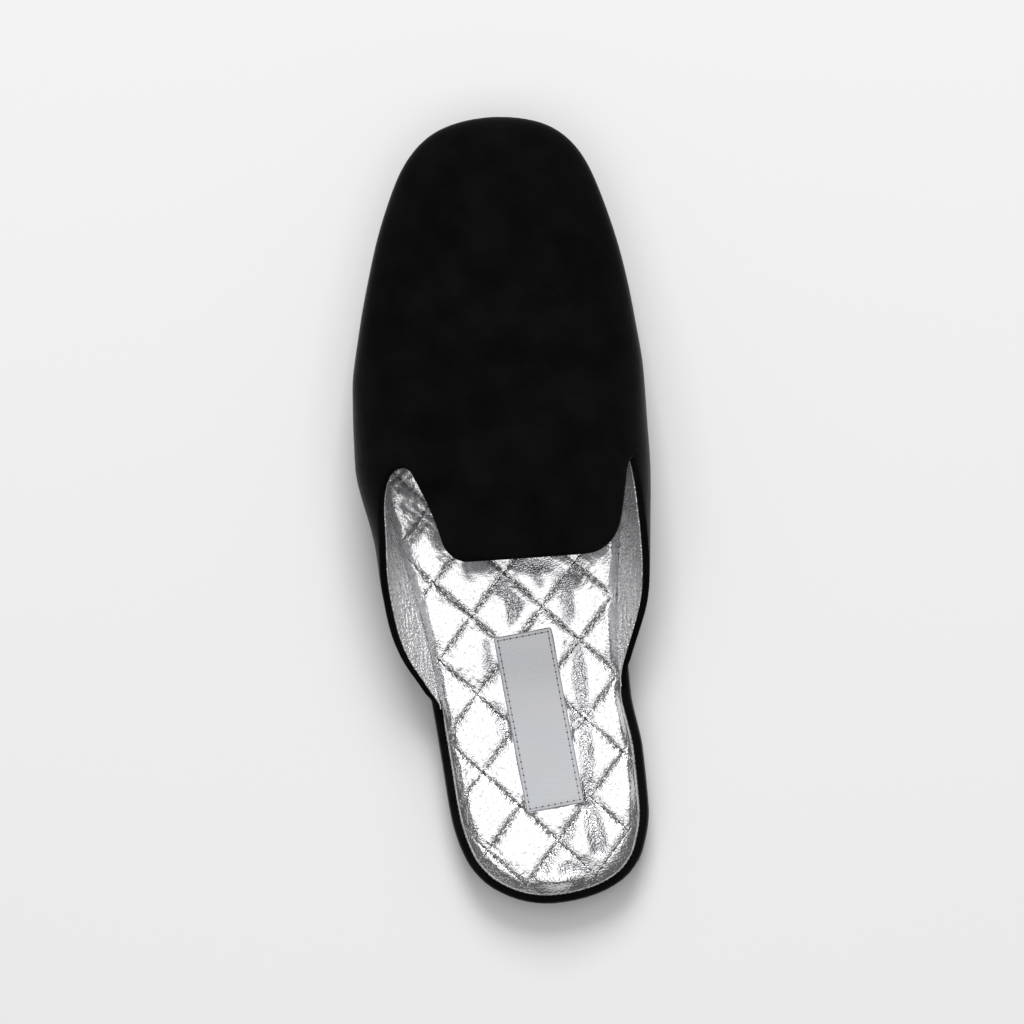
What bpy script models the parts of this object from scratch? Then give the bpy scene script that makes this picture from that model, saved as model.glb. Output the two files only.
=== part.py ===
"""Backless mule slipper for the left foot.

Outsole, wrapped midsole, quilted insole, hollow upper and label patch, in metres.
The toe points along +Y, the inner side of the foot is +X and the floor is z = 0.
"""
import math
from collections import namedtuple

import bmesh
import bpy
import numpy as np
from mathutils import Vector

# All sizes below are millimetres and are scaled once, where vertices are placed.
MM = 0.001
GAP = 0.3

# Sole
SOLE_HEEL_Y = -135.0
SOLE_TOE_Y = 132.0
OUTSOLE_THICKNESS = 4.0
SOLE_ROWS = 40
SOLE_COLUMNS = 4

# Upper
WALL = 2.4
FEATHER_INSET = 1.0
WIDEST_AT = 0.42
WING_COLUMNS = 8
VAMP_COLUMNS = 8
TONGUE_END_Y = -15.6
WING_END_HEIGHT = 2.6
TOE_SPLIT = 0.62
TOE_FAN_Y = 92.0
TOE_POLE_Y = 110.0

# Insole
INSOLE_INSET = 3.7
PAD_THICKNESS = 3.2
PAD_EDGE_DROP = 1.2
PAD_EDGE_WIDTH = 6.0
PUFF_HEIGHT = 2.0
QUILT_ORIGIN = Vector((-14.3, -88.3))
QUILT_STEPS = (Vector((12.1, -12.5)), Vector((12.1, 14.3)))
QUILT_REACH = 16
QUILT_CUTS = 4

# Label patch
LABEL_SIZE = (19.4, 61.0)
LABEL_CENTRE = (6.4, -71.6)
LABEL_TURN = math.radians(6.8)
LABEL_THICKNESS = 0.9
LABEL_BED = 1.0
LABEL_BED_MARGIN = 1.0
LABEL_CELLS = (4, 10)

# Outline of the platform seen from above, heel to toe.
Outline = namedtuple("Outline", "y lateral medial")
SOLE_OUTLINE = (
    Outline(-135.0, 6.5, 6.5),
    Outline(-131.0, -9.5, 26.4),
    Outline(-126.0, -16.6, 33.8),
    Outline(-118.0, -22.2, 38.8),
    Outline(-104.0, -26.2, 41.6),
    Outline(-84.0, -28.2, 41.0),
    Outline(-64.0, -30.2, 38.2),
    Outline(-45.0, -32.6, 37.8),
    Outline(-25.0, -36.6, 39.4),
    Outline(-5.0, -41.8, 42.4),
    Outline(20.0, -46.9, 46.4),
    Outline(45.0, -46.5, 47.2),
    Outline(65.0, -43.2, 45.8),
    Outline(85.0, -38.2, 42.8),
    Outline(105.0, -31.2, 37.6),
    Outline(119.0, -24.2, 31.6),
    Outline(128.0, -14.4, 22.6),
    Outline(132.0, 4.4, 4.4),
)

# Side view of the sole: lift of the underside off the floor and thickness of the platform.
Profile = namedtuple("Profile", "y lift platform")
SOLE_PROFILE = (
    Profile(-135.0, 0.0, 9.5),
    Profile(-62.0, 0.0, 9.3),
    Profile(-45.0, 1.5, 8.6),
    Profile(-25.0, 2.2, 7.6),
    Profile(-8.0, 1.2, 6.8),
    Profile(6.0, 0.0, 6.2),
    Profile(52.0, 0.0, 5.4),
    Profile(78.0, 0.7, 5.0),
    Profile(105.0, 2.5, 4.6),
    Profile(132.0, 5.6, 4.4),
)

# Rolled edge of the platform: height as a share of its thickness, and inset from the outline.
Roll = namedtuple("Roll", "height inset")
PLATFORM_ROLL = (
    Roll(0.0, 0.9),
    Roll(0.2, 0.2),
    Roll(0.5, 0.0),
    Roll(0.8, 0.35),
    Roll(0.94, 1.0),
    Roll(1.0, 1.9),
)
OUTSOLE_ROLL = (
    Roll(0.0, 1.7),
    Roll(0.25, 1.0),
    Roll(1.0, 0.7),
)

# Cross sections of the upper: side bulge past the feather line, height of the widest point, ridge line.
Section = namedtuple("Section", "y bulge_lateral bulge_medial widest_z ridge_x ridge_z")
UPPER_SECTIONS = (
    Section(-66.0, 8.4, 5.4, 27.5, 8.0, 71.0),
    Section(-45.0, 9.5, 8.2, 27.8, 8.0, 70.0),
    Section(-25.0, 8.2, 9.0, 27.6, 8.0, 68.6),
    Section(-5.0, 5.0, 7.7, 26.4, 8.0, 65.0),
    Section(20.0, 4.4, 4.9, 24.2, 7.0, 58.6),
    Section(45.0, 3.8, 4.0, 22.2, 5.4, 51.0),
    Section(65.0, 3.6, 3.6, 21.0, 4.6, 45.4),
    Section(85.0, 3.5, 3.5, 20.4, 4.4, 41.0),
    Section(105.0, 3.6, 3.6, 20.4, 4.4, 37.4),
    Section(132.0, 4.0, 4.0, 21.6, 4.4, 34.0),
)

# Top edge of the wings, by height, and sides of the tongue, by place across the foot.
Wing = namedtuple("Wing", "y lateral_z medial_z")
WING_EDGE = (
    Wing(-62.0, 16.4, 15.0),
    Wing(-56.0, 19.0, 16.2),
    Wing(-48.0, 23.2, 19.8),
    Wing(-36.0, 28.0, 25.6),
    Wing(-24.0, 32.0, 31.0),
    Wing(-12.0, 36.6, 36.2),
    Wing(0.0, 41.0, 39.4),
    Wing(14.0, 45.6, 41.8),
)
Tongue = namedtuple("Tongue", "y lateral_x medial_x")
TONGUE_EDGE = (
    Tongue(-15.6, -19.9, 37.6),
    Tongue(-8.0, -21.9, 39.3),
    Tongue(0.0, -24.2, 41.2),
    Tongue(14.0, -29.8, 43.6),
)
Notch = namedtuple("Notch", "y x round_y corner_round wing_end_y")
NOTCHES = {
    "lateral": Notch(17.4, -33.8, 6.5, 6.0, -62.0),
    "medial": Notch(15.6, 45.4, 5.0, 9.0, -57.0),
}


def along(table, column, y):
    """Value of one table column at length y, on a smooth curve through its rows."""
    ys = [row.y for row in table]
    values = [getattr(row, column) for row in table]
    return smooth_curve(ys, values, y)


def smooth_curve(knots, values, at):
    """Cubic curve through the knots that does not swing past them."""
    at = min(max(at, knots[0]), knots[-1])
    i = min(max(int(np.searchsorted(knots, at)) - 1, 0), len(knots) - 2)
    steps = np.diff(knots)
    rises = np.diff(values) / steps
    slopes = [rises[0]]
    for before, after in zip(rises[:-1], rises[1:]):
        slopes.append(0.0 if before * after <= 0 else 2 * before * after / (before + after))
    slopes.append(rises[-1])
    s = (at - knots[i]) / steps[i]
    return (
        values[i] * (1 + 2 * s) * (1 - s) ** 2
        + slopes[i] * steps[i] * s * (1 - s) ** 2
        + values[i + 1] * s**2 * (3 - 2 * s)
        + slopes[i + 1] * steps[i] * s**2 * (s - 1)
    )


def turn_at(y):
    """Angle round the sole for a length y: 0 at the heel tip, pi at the toe tip."""
    middle = (SOLE_HEEL_Y + SOLE_TOE_Y) / 2
    half = (SOLE_TOE_Y - SOLE_HEEL_Y) / 2
    return math.acos(min(max((middle - y) / half, -1.0), 1.0))


def length_at(turn):
    """Length y for an angle round the sole."""
    return (SOLE_HEEL_Y + SOLE_TOE_Y) / 2 - (SOLE_TOE_Y - SOLE_HEEL_Y) / 2 * math.cos(turn)


OUTLINE_TURNS = [turn_at(row.y) for row in SOLE_OUTLINE]
OUTLINE_SIDES = {
    "lateral": [row.lateral for row in SOLE_OUTLINE],
    "medial": [row.medial for row in SOLE_OUTLINE],
}


def outline_point(side, turn, inset=0.0):
    """Plan point of the sole outline and its outward direction, moved inwards by an inset."""
    turn = min(max(turn, 0.0), math.pi)

    def plain(angle):
        return Vector((smooth_curve(OUTLINE_TURNS, OUTLINE_SIDES[side], angle), length_at(angle)))

    step = 0.004
    tangent = plain(min(turn + step, math.pi)) - plain(max(turn - step, 0.0))
    if turn < step or turn > math.pi - step:
        tangent.y = 0.0
    outward = Vector((-tangent.y, tangent.x)) if side == "lateral" else Vector((tangent.y, -tangent.x))
    outward.normalize()
    return plain(turn) - inset * outward, outward


def underside_z(y):
    """Height of the underside of the outsole."""
    return along(SOLE_PROFILE, "lift", y)


def platform_base_z(y):
    """Height of the underside of the platform."""
    return underside_z(y) + OUTSOLE_THICKNESS + GAP


def platform_top_z(y):
    """Height of the top of the platform."""
    return platform_base_z(y) + along(SOLE_PROFILE, "platform", y)


def patch(bm, columns, rows, place):
    """Grid of quads whose vertices go where place(column, row) says, in millimetres."""
    grid = bmesh.ops.create_grid(bm, x_segments=columns, y_segments=rows, size=1.0)
    for vert in grid["verts"]:
        column = round((vert.co.x + 1) / 2 * columns)
        row = round((vert.co.y + 1) / 2 * rows)
        vert.co = Vector(place(column, row)) * MM


def weld(bm):
    """Join patches where they meet and turn all faces outwards."""
    bmesh.ops.remove_doubles(bm, verts=bm.verts, dist=0.00002)
    bmesh.ops.dissolve_degenerate(bm, edges=bm.edges, dist=0.00001)
    bmesh.ops.recalc_face_normals(bm, faces=bm.faces)


def finish_mesh(bm, name):
    """Weld the patches and return the mesh."""
    weld(bm)
    mesh = bpy.data.meshes.new(name)
    bm.to_mesh(mesh)
    bm.free()
    return mesh


def sole_turns():
    """Angles of the rows of the sole, close together at both tips."""
    return [math.pi * i / SOLE_ROWS for i in range(SOLE_ROWS + 1)]


def sole_slab(bm, roll, base_z, top_z):
    """Closed slab in the sole outline with a rolled edge between two heights."""
    turns = sole_turns()

    def sheet(inset, height):
        def place(column, row):
            left = outline_point("lateral", turns[row], inset)[0]
            right = outline_point("medial", turns[row], inset)[0]
            point = left.lerp(right, column / SOLE_COLUMNS)
            return point.x, point.y, height(length_at(turns[row]))

        return place

    def wall(side):
        def place(column, row):
            y = length_at(turns[row])
            point = outline_point(side, turns[row], roll[column].inset)[0]
            low, high = base_z(y), top_z(y)
            return point.x, point.y, low + (high - low) * roll[column].height

        return place

    patch(bm, SOLE_COLUMNS, SOLE_ROWS, sheet(roll[0].inset, base_z))
    patch(bm, SOLE_COLUMNS, SOLE_ROWS, sheet(roll[-1].inset, top_z))
    for side in ("lateral", "medial"):
        patch(bm, len(roll) - 1, SOLE_ROWS, wall(side))


def make_outsole():
    """Wearing sole with flat spots under heel and forefoot, a lifted waist and toe spring."""
    bm = bmesh.new()
    sole_slab(bm, OUTSOLE_ROLL, underside_z, lambda y: underside_z(y) + OUTSOLE_THICKNESS)
    return finish_mesh(bm, "outsole")


def make_midsole():
    """Wrapped platform with a soft rolled edge."""
    bm = bmesh.new()
    sole_slab(bm, PLATFORM_ROLL, platform_base_z, platform_top_z)
    return finish_mesh(bm, "midsole")


def section_at(side, turn):
    """Feather point, bulge direction and table values of one half section of the upper."""
    feather, outward = outline_point(side, turn, FEATHER_INSET)
    y = length_at(turn)
    lean = min(max((y - 60.0) / 50.0, 0.0), 1.0)
    direction = Vector((outward.x, outward.y * lean)).normalized()
    ridge_y = y
    if y > TOE_FAN_Y:
        share = (turn - turn_at(TOE_FAN_Y)) / (math.pi - turn_at(TOE_FAN_Y))
        ridge_y = TOE_FAN_Y + (TOE_POLE_Y - TOE_FAN_Y) * share * (2 - share)
    widest = feather + direction * along(UPPER_SECTIONS, "bulge_" + side, y)
    ridge = Vector((along(UPPER_SECTIONS, "ridge_x", ridge_y), ridge_y))
    heights = (
        platform_top_z(y) + GAP,
        along(UPPER_SECTIONS, "widest_z", y),
        along(UPPER_SECTIONS, "ridge_z", ridge_y),
    )
    return feather, widest, ridge, heights


def upper_point(side, turn, share):
    """Point on the outside of the upper, share 0 at the feather line and 1 on the ridge."""
    feather, widest, ridge, (low, middle, high) = section_at(side, turn)
    if share <= WIDEST_AT:
        rise = share / WIDEST_AT
        plan = feather.lerp(widest, math.sin(rise * math.pi / 2))
        return plan.x, plan.y, low + (middle - low) * rise
    angle = (share - WIDEST_AT) / (1 - WIDEST_AT) * math.pi / 2
    plan = ridge + (widest - ridge) * math.cos(angle)
    return plan.x, plan.y, middle + (high - middle) * math.sin(angle)


def share_at_height(side, turn, z):
    """Share of a half section where it reaches height z."""
    low, middle, high = section_at(side, turn)[3]
    if z <= middle:
        return WIDEST_AT * (z - low) / (middle - low)
    return WIDEST_AT + (1 - WIDEST_AT) * math.asin((z - middle) / (high - middle)) / (math.pi / 2)


def share_at_place(side, turn, x):
    """Share of a half section, above its widest point, where it is at x across the foot."""
    widest, ridge = section_at(side, turn)[1:3]
    across = min(max((x - ridge.x) / (widest.x - ridge.x), 0.0), 1.0)
    return WIDEST_AT + (1 - WIDEST_AT) * math.acos(across) / (math.pi / 2)


def quarter_round(distance, radius):
    """Rise from 0 to 1 along a quarter circle."""
    left = 1 - min(max(distance, 0.0), radius) / radius
    return math.sqrt(1 - left * left)


def split_edges(side, y):
    """Shares of the wing's top edge and of the tongue's side at length y; equal ahead of the notch."""
    notch = NOTCHES[side]
    turn = turn_at(y)
    apex = share_at_place(side, turn_at(notch.y), notch.x)
    if y >= notch.y:
        ahead = min((y - notch.y) / 70.0, 1.0)
        apex += (TOE_SPLIT - apex) * ahead
        return apex, apex
    opening = quarter_round(notch.y - y, notch.round_y)
    low = section_at(side, turn)[3][0]
    wing_z = max(along(WING_EDGE, side + "_z", y), low + WING_END_HEIGHT)
    wing = share_at_height(side, turn, wing_z)
    tongue_x = along(TONGUE_EDGE, side + "_x", y)
    corner = notch.corner_round * (1 - quarter_round(y - TONGUE_END_Y, notch.corner_round))
    tongue = share_at_place(side, turn, tongue_x + (corner if side == "lateral" else -corner))
    return apex + (wing - apex) * opening, apex + (tongue - apex) * opening


def upper_rows():
    """Lengths of the sections of the upper, close at the notches, the tongue end and the toe."""
    rows = [-62.0, -59.5, -57.0, -52.0, -46.0, -39.0, -31.0, -23.0, TONGUE_END_Y, -15.1, -14.0, -12.2, -9.6]
    rows += [-6.0, -2.0, 3.0, 8.0, 11.0, 13.2, 14.8, 15.6, 16.6, 17.4]
    start = turn_at(24.0)
    rows += [length_at(start + (math.pi - start) * i / 18) for i in range(19)]
    return rows


def make_upper():
    """Outside of the upper as one open sheet: wings, vamp and tongue with two notches."""
    bm = bmesh.new()
    rows = upper_rows()
    for side in ("lateral", "medial"):
        wing_rows = [y for y in rows if y >= NOTCHES[side].wing_end_y]
        vamp_rows = [y for y in rows if y >= TONGUE_END_Y]

        def place_wing(column, row, side=side, wing_rows=wing_rows):
            top = split_edges(side, wing_rows[row])[0]
            return upper_point(side, turn_at(wing_rows[row]), top * column / WING_COLUMNS)

        def place_vamp(column, row, side=side, vamp_rows=vamp_rows):
            edge = split_edges(side, vamp_rows[row])[1]
            share = edge + (1 - edge) * column / VAMP_COLUMNS
            return upper_point(side, turn_at(vamp_rows[row]), share)

        patch(bm, WING_COLUMNS, len(wing_rows) - 1, place_wing)
        patch(bm, VAMP_COLUMNS, len(vamp_rows) - 1, place_vamp)
    return finish_mesh(bm, "upper")


def quilt_place(point):
    """Place of a plan point counted in diamonds along the two sets of quilting lines."""
    first, second = QUILT_STEPS
    offset = Vector(point) - QUILT_ORIGIN
    area = first.cross(second)
    return offset.cross(second) / area, first.cross(offset) / area


def puff(point):
    """Height of the quilting at a plan point, nought on the stitch lines."""
    steps = np.arange(QUILT_CUTS + 1) / QUILT_CUTS
    arch = np.sqrt(np.sin(math.pi * steps).clip(0.0))
    height = PUFF_HEIGHT
    for count in quilt_place(point):
        height *= float(np.interp(count - math.floor(count), steps, arch))
    return min(height, LABEL_BED) if inside_label(point, LABEL_BED_MARGIN + 0.05) else height


def label_point(across, lengthwise):
    """Plan point of the label patch from its own centre and axes."""
    sine, cosine = math.sin(LABEL_TURN), math.cos(LABEL_TURN)
    return Vector((
        LABEL_CENTRE[0] + across * cosine - lengthwise * sine,
        LABEL_CENTRE[1] + across * sine + lengthwise * cosine,
    ))


def inside_label(point, margin):
    """Whether a plan point is over the label patch or within a margin of it."""
    offset = Vector(point) - Vector(LABEL_CENTRE)
    sine, cosine = math.sin(LABEL_TURN), math.cos(LABEL_TURN)
    across = offset.x * cosine + offset.y * sine
    lengthwise = offset.y * cosine - offset.x * sine
    return abs(across) < LABEL_SIZE[0] / 2 + margin and abs(lengthwise) < LABEL_SIZE[1] / 2 + margin


def pad_top_z(y):
    """Height of the stitch lines of the insole."""
    return platform_top_z(y) + GAP + PAD_THICKNESS


def cut_top(bm, plan_point, plan_normal):
    """Cut the upward faces of a slab along a straight line seen from above."""
    bm.normal_update()
    top = [face for face in bm.faces if face.normal.z > 0.7]
    geometry = set(top)
    for face in top:
        geometry.update(face.edges)
        geometry.update(face.verts)
    place = Vector((plan_point.x, plan_point.y, 0.0)) * MM
    normal = Vector((plan_normal.x, plan_normal.y, 0.0)).normalized()
    bmesh.ops.bisect_plane(bm, geom=list(geometry), dist=0.0000005, plane_co=place, plane_no=normal)


def keep_lines(bm, directions):
    """Dissolve the upward faces' inner edges that follow none of the plan directions."""
    bm.normal_update()
    spare = []
    for edge in bm.edges:
        run = (edge.verts[1].co - edge.verts[0].co).xy.normalized()
        follows = any(abs(run.cross(line.normalized())) < 0.02 for line in directions)
        if not follows and all(face.normal.z > 0.7 for face in edge.link_faces):
            spare.append(edge)
    bmesh.ops.dissolve_edges(bm, edges=spare, use_verts=True)


def make_insole():
    """Padded footbed: slab in the sole outline, cut along the quilting and puffed between the lines."""
    bm = bmesh.new()
    turns = sole_turns()

    def edge_point(side, row):
        return outline_point(side, turns[row], INSOLE_INSET)[0]

    def sheet(height):
        def place(column, row):
            point = edge_point("lateral", row).lerp(edge_point("medial", row), column)
            return point.x, point.y, height(length_at(turns[row]))

        return place

    def wall(side):
        def place(column, row):
            y = length_at(turns[row])
            point = edge_point(side, row)
            return point.x, point.y, (pad_top_z(y) if column else platform_top_z(y) + GAP)

        return place

    patch(bm, 1, SOLE_ROWS, sheet(lambda y: platform_top_z(y) + GAP))
    patch(bm, 1, SOLE_ROWS, sheet(pad_top_z))
    for side in ("lateral", "medial"):
        patch(bm, 1, SOLE_ROWS, wall(side))
    weld(bm)

    for step, across in (QUILT_STEPS, QUILT_STEPS[::-1]):
        for i in range(-QUILT_REACH * QUILT_CUTS, QUILT_REACH * QUILT_CUTS + 1):
            cut_top(bm, QUILT_ORIGIN + step * (i / QUILT_CUTS), across.orthogonal())
    for sign in (-1, 1):
        half_width, half_length = (size / 2 + LABEL_BED_MARGIN for size in LABEL_SIZE)
        side, end = label_point(sign * half_width, 0.0), label_point(0.0, sign * half_length)
        cut_top(bm, side, side - Vector(LABEL_CENTRE))
        cut_top(bm, end, end - Vector(LABEL_CENTRE))
    keep_lines(bm, (*QUILT_STEPS, side - Vector(LABEL_CENTRE), end - Vector(LABEL_CENTRE)))

    edge = [edge_point("lateral", row) for row in range(SOLE_ROWS + 1)]
    edge += [edge_point("medial", row) for row in range(SOLE_ROWS, -1, -1)]
    bm.normal_update()
    top_verts = {vert for face in bm.faces if face.normal.z > 0.7 for vert in face.verts}
    for vert in top_verts:
        point = Vector((vert.co.x, vert.co.y)) / MM
        inward = min(distance_to_line(point, a, b) for a, b in zip(edge, edge[1:] + edge[:1]))
        near = 1 - min(inward / PAD_EDGE_WIDTH, 1.0)
        vert.co.z += (puff(point) * (1 - near**2) - PAD_EDGE_DROP * near**3) * MM
    return finish_mesh(bm, "insole")


def distance_to_line(point, start, end):
    """Distance from a plan point to a stretch of outline."""
    run = end - start
    share = 0.0
    if run.length_squared > 0:
        share = min(max((point - start).dot(run) / run.length_squared, 0.0), 1.0)
    return (point - start - run * share).length


def make_label():
    """Thin patch lying along the middle of the heel, following the footbed."""
    bm = bmesh.new()
    columns, rows = LABEL_CELLS

    def sheet(lift):
        def place(column, row):
            across = LABEL_SIZE[0] * (column / columns - 0.5)
            lengthwise = LABEL_SIZE[1] * (row / rows - 0.5)
            point = label_point(across, lengthwise)
            return point.x, point.y, pad_top_z(point.y) + LABEL_BED + GAP + lift

        return place

    patch(bm, columns, rows, sheet(0.0))
    mesh = finish_mesh(bm, "label")
    return mesh


def make_material(name, color, roughness, metallic=0.0):
    """Plain surface with one colour."""
    material = bpy.data.materials.new(name)
    material.use_nodes = True
    shader = material.node_tree.nodes["Principled BSDF"]
    shader.inputs["Base Color"].default_value = (*color, 1.0)
    shader.inputs["Roughness"].default_value = roughness
    shader.inputs["Metallic"].default_value = metallic
    return material


def add_part(collection, mesh, material):
    """Put a mesh in the scene under its own name and material."""
    mesh.materials.append(material)
    part = bpy.data.objects.new(mesh.name, mesh)
    collection.objects.link(part)
    return part


def solidify(part, thickness, offset):
    """Give an open sheet a wall."""
    wall = part.modifiers.new("wall", "SOLIDIFY")
    wall.thickness = thickness * MM
    wall.offset = offset
    wall.use_even_offset = True
    wall.use_quality_normals = True


def main():
    """Build the slipper."""
    for item in list(bpy.data.objects):
        bpy.data.objects.remove(item, do_unlink=True)
    collection = bpy.data.collections.new("mule_slipper")
    bpy.context.scene.collection.children.link(collection)

    velvet = make_material("black_velvet", (0.006, 0.006, 0.007), 0.95)
    wrap = make_material("black_wrap", (0.008, 0.008, 0.009), 0.85)
    tread = make_material("black_sole", (0.02, 0.02, 0.02), 0.6)
    silver = make_material("silver_leather", (0.72, 0.72, 0.73), 0.3, 0.9)
    grey = make_material("grey_patch", (0.52, 0.53, 0.55), 0.6)

    add_part(collection, make_outsole(), tread)
    add_part(collection, make_midsole(), wrap)
    add_part(collection, make_insole(), silver)
    upper = add_part(collection, make_upper(), velvet)
    solidify(upper, WALL, -1.0)
    label = add_part(collection, make_label(), grey)
    solidify(label, LABEL_THICKNESS, 1.0)


main()
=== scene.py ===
"""Looks of a backless mule slipper for the left foot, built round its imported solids.

Velvet upper with a foil leather lining, quilted foil footbed, bare label patch and wrapped sole.
The toe points along +Y, the inner side of the foot is +X and the floor is z = 0.
"""
import logging
import math
from collections.abc import Callable, Sequence
from dataclasses import dataclass, field
from enum import Enum

import bmesh
import bpy
import numpy as np
from mathutils import Matrix, Vector, noise


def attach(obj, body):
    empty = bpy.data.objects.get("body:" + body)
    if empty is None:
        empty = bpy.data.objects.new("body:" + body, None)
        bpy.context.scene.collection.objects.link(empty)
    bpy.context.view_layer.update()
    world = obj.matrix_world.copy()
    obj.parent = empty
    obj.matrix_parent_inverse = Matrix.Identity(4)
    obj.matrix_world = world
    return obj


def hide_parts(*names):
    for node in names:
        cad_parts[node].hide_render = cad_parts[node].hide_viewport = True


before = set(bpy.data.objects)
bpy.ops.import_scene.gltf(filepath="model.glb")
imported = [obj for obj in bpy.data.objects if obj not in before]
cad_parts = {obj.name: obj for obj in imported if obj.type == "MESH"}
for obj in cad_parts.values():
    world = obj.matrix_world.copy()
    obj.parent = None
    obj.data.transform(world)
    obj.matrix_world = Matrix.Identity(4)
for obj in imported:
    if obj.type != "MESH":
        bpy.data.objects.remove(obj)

LOG = logging.getLogger("mule_slipper")
MM = 0.001
BODY = "root"

# Gaps in metres: vertices that are joined, slivers that are dropped, and how close a cut runs to a vertex.
WELD_GAP = 0.00001
SHELL_GAP = 0.000002
SLIVER = 0.000005
CUT_GAP = 0.00002

Mesh = bmesh.types.BMesh
Vert = bmesh.types.BMVert
Edge = bmesh.types.BMEdge
Socket = bpy.types.NodeSocket
Colour = tuple[float, float, float]
Pairs = tuple[tuple[float, float], ...]
Terms = tuple[tuple[Socket, float], ...]


class Side(Enum):
    """The two long sides of the slipper, with the direction across the foot that each faces."""

    LATERAL = -1
    MEDIAL = 1


class SmoothCurve:
    """Cubic curve through knots that does not swing past them."""

    def __init__(self, knots: Sequence[float], values: Sequence[float]) -> None:
        """Work out the slopes at the knots.

        Args:
            knots: Places along the curve, rising.
            values: Heights at those places.
        """
        self.knots = np.asarray(knots, float)
        self.values = np.asarray(values, float)
        self.steps = np.diff(self.knots)
        rises = np.diff(self.values) / self.steps
        before, after = rises[:-1], rises[1:]
        total = np.where(before * after > 0, before + after, 1.0)
        inner = np.where(before * after > 0, 2 * before * after / total, 0.0)
        self.slopes = np.concatenate(([rises[0]], inner, [rises[-1]]))

    def __call__(self, at: np.ndarray | float) -> np.ndarray:
        """Read the curve.

        Args:
            at: Places to read, held to the ends of the curve.

        Returns:
            The heights there.
        """
        at = np.clip(at, self.knots[0], self.knots[-1])
        i = np.clip(np.searchsorted(self.knots, at) - 1, 0, len(self.steps) - 1)
        step = self.steps[i]
        s = (at - self.knots[i]) / step
        return (
            self.values[i] * (1 + 2 * s) * (1 - s) ** 2
            + self.slopes[i] * step * s * (1 - s) ** 2
            + self.values[i + 1] * s**2 * (3 - 2 * s)
            + self.slopes[i + 1] * step * s**2 * (s - 1)
        )


def curves(table: Sequence[Sequence[float]]) -> list[SmoothCurve]:
    """Curves through the columns of a table whose first column is the length y.

    Args:
        table: Rows of numbers, heel to toe.

    Returns:
        One curve for each further column.
    """
    columns = list(zip(*table))
    return [SmoothCurve(columns[0], column) for column in columns[1:]]


def smooth_step(low: float, high: float, value: np.ndarray | float) -> np.ndarray:
    """Soft rise from 0 to 1 between two values.

    Args:
        low: Value where the rise starts.
        high: Value where it is complete; below low for a fall.
        value: Values to read.

    Returns:
        The rise at each value.
    """
    share = np.clip((value - low) / (high - low), 0.0, 1.0)
    return share * share * (3 - 2 * share)


def quarter_round(distance: np.ndarray, radius: float) -> np.ndarray:
    """Rise from 0 to 1 along a quarter circle.

    Args:
        distance: Distances from the start of the circle.
        radius: Its radius.

    Returns:
        The rise at each distance.
    """
    left = 1 - np.clip(distance, 0.0, radius) / radius
    return np.sqrt(1 - left * left)


def noise_field(points: np.ndarray, size: float, seed: float) -> np.ndarray:
    """Smooth random field of about -1 to 1.

    Args:
        points: Places in millimetres, any number by two or three.
        size: Width of its lumps in millimetres.
        seed: Shift that makes one field unlike another.

    Returns:
        One value for each point.
    """
    places = np.zeros((len(points), 3))
    places[:, : points.shape[1]] = points / size
    places += seed
    return np.array([noise.noise(Vector(place)) for place in places])


# Outline of the platform seen from above, heel to toe: y, lateral edge, medial edge.
SOLE_OUTLINE = (
    (-135.0, 6.5, 6.5),
    (-131.0, -9.5, 26.4),
    (-126.0, -16.6, 33.8),
    (-118.0, -22.2, 38.8),
    (-104.0, -26.2, 41.6),
    (-84.0, -28.2, 41.0),
    (-64.0, -30.2, 38.2),
    (-45.0, -32.6, 37.8),
    (-25.0, -36.6, 39.4),
    (-5.0, -41.8, 42.4),
    (20.0, -46.9, 46.4),
    (45.0, -46.5, 47.2),
    (65.0, -43.2, 45.8),
    (85.0, -38.2, 42.8),
    (105.0, -31.2, 37.6),
    (119.0, -24.2, 31.6),
    (128.0, -14.4, 22.6),
    (132.0, 4.4, 4.4),
)

# Side view of the sole: y, lift of the underside off the floor, thickness of the platform.
SOLE_PROFILE = (
    (-135.0, 0.0, 9.5),
    (-62.0, 0.0, 9.3),
    (-45.0, 1.5, 8.6),
    (-25.0, 2.2, 7.6),
    (-8.0, 1.2, 6.8),
    (6.0, 0.0, 6.2),
    (52.0, 0.0, 5.4),
    (78.0, 0.7, 5.0),
    (105.0, 2.5, 4.6),
    (132.0, 5.6, 4.4),
)

# Cross sections of the upper: y, lateral bulge, medial bulge, height of the widest point, ridge x and z.
UPPER_SECTIONS = (
    (-66.0, 8.4, 5.4, 27.5, 8.0, 71.0),
    (-45.0, 9.5, 8.2, 27.8, 8.0, 70.0),
    (-25.0, 8.2, 9.0, 27.6, 8.0, 68.6),
    (-5.0, 5.0, 7.7, 26.4, 8.0, 65.0),
    (20.0, 4.4, 4.9, 24.2, 7.0, 58.6),
    (45.0, 3.8, 4.0, 22.2, 5.4, 51.0),
    (65.0, 3.6, 3.6, 21.0, 4.6, 45.4),
    (85.0, 3.5, 3.5, 20.4, 4.4, 41.0),
    (105.0, 3.6, 3.6, 20.4, 4.4, 37.4),
    (132.0, 4.0, 4.0, 21.6, 4.4, 34.0),
)


@dataclass
class Section:
    """Half cross sections of the upper, one row for each length along the foot, in millimetres."""

    feather: np.ndarray
    widest: np.ndarray
    ridge: np.ndarray
    low: np.ndarray
    middle: np.ndarray
    high: np.ndarray


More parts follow.
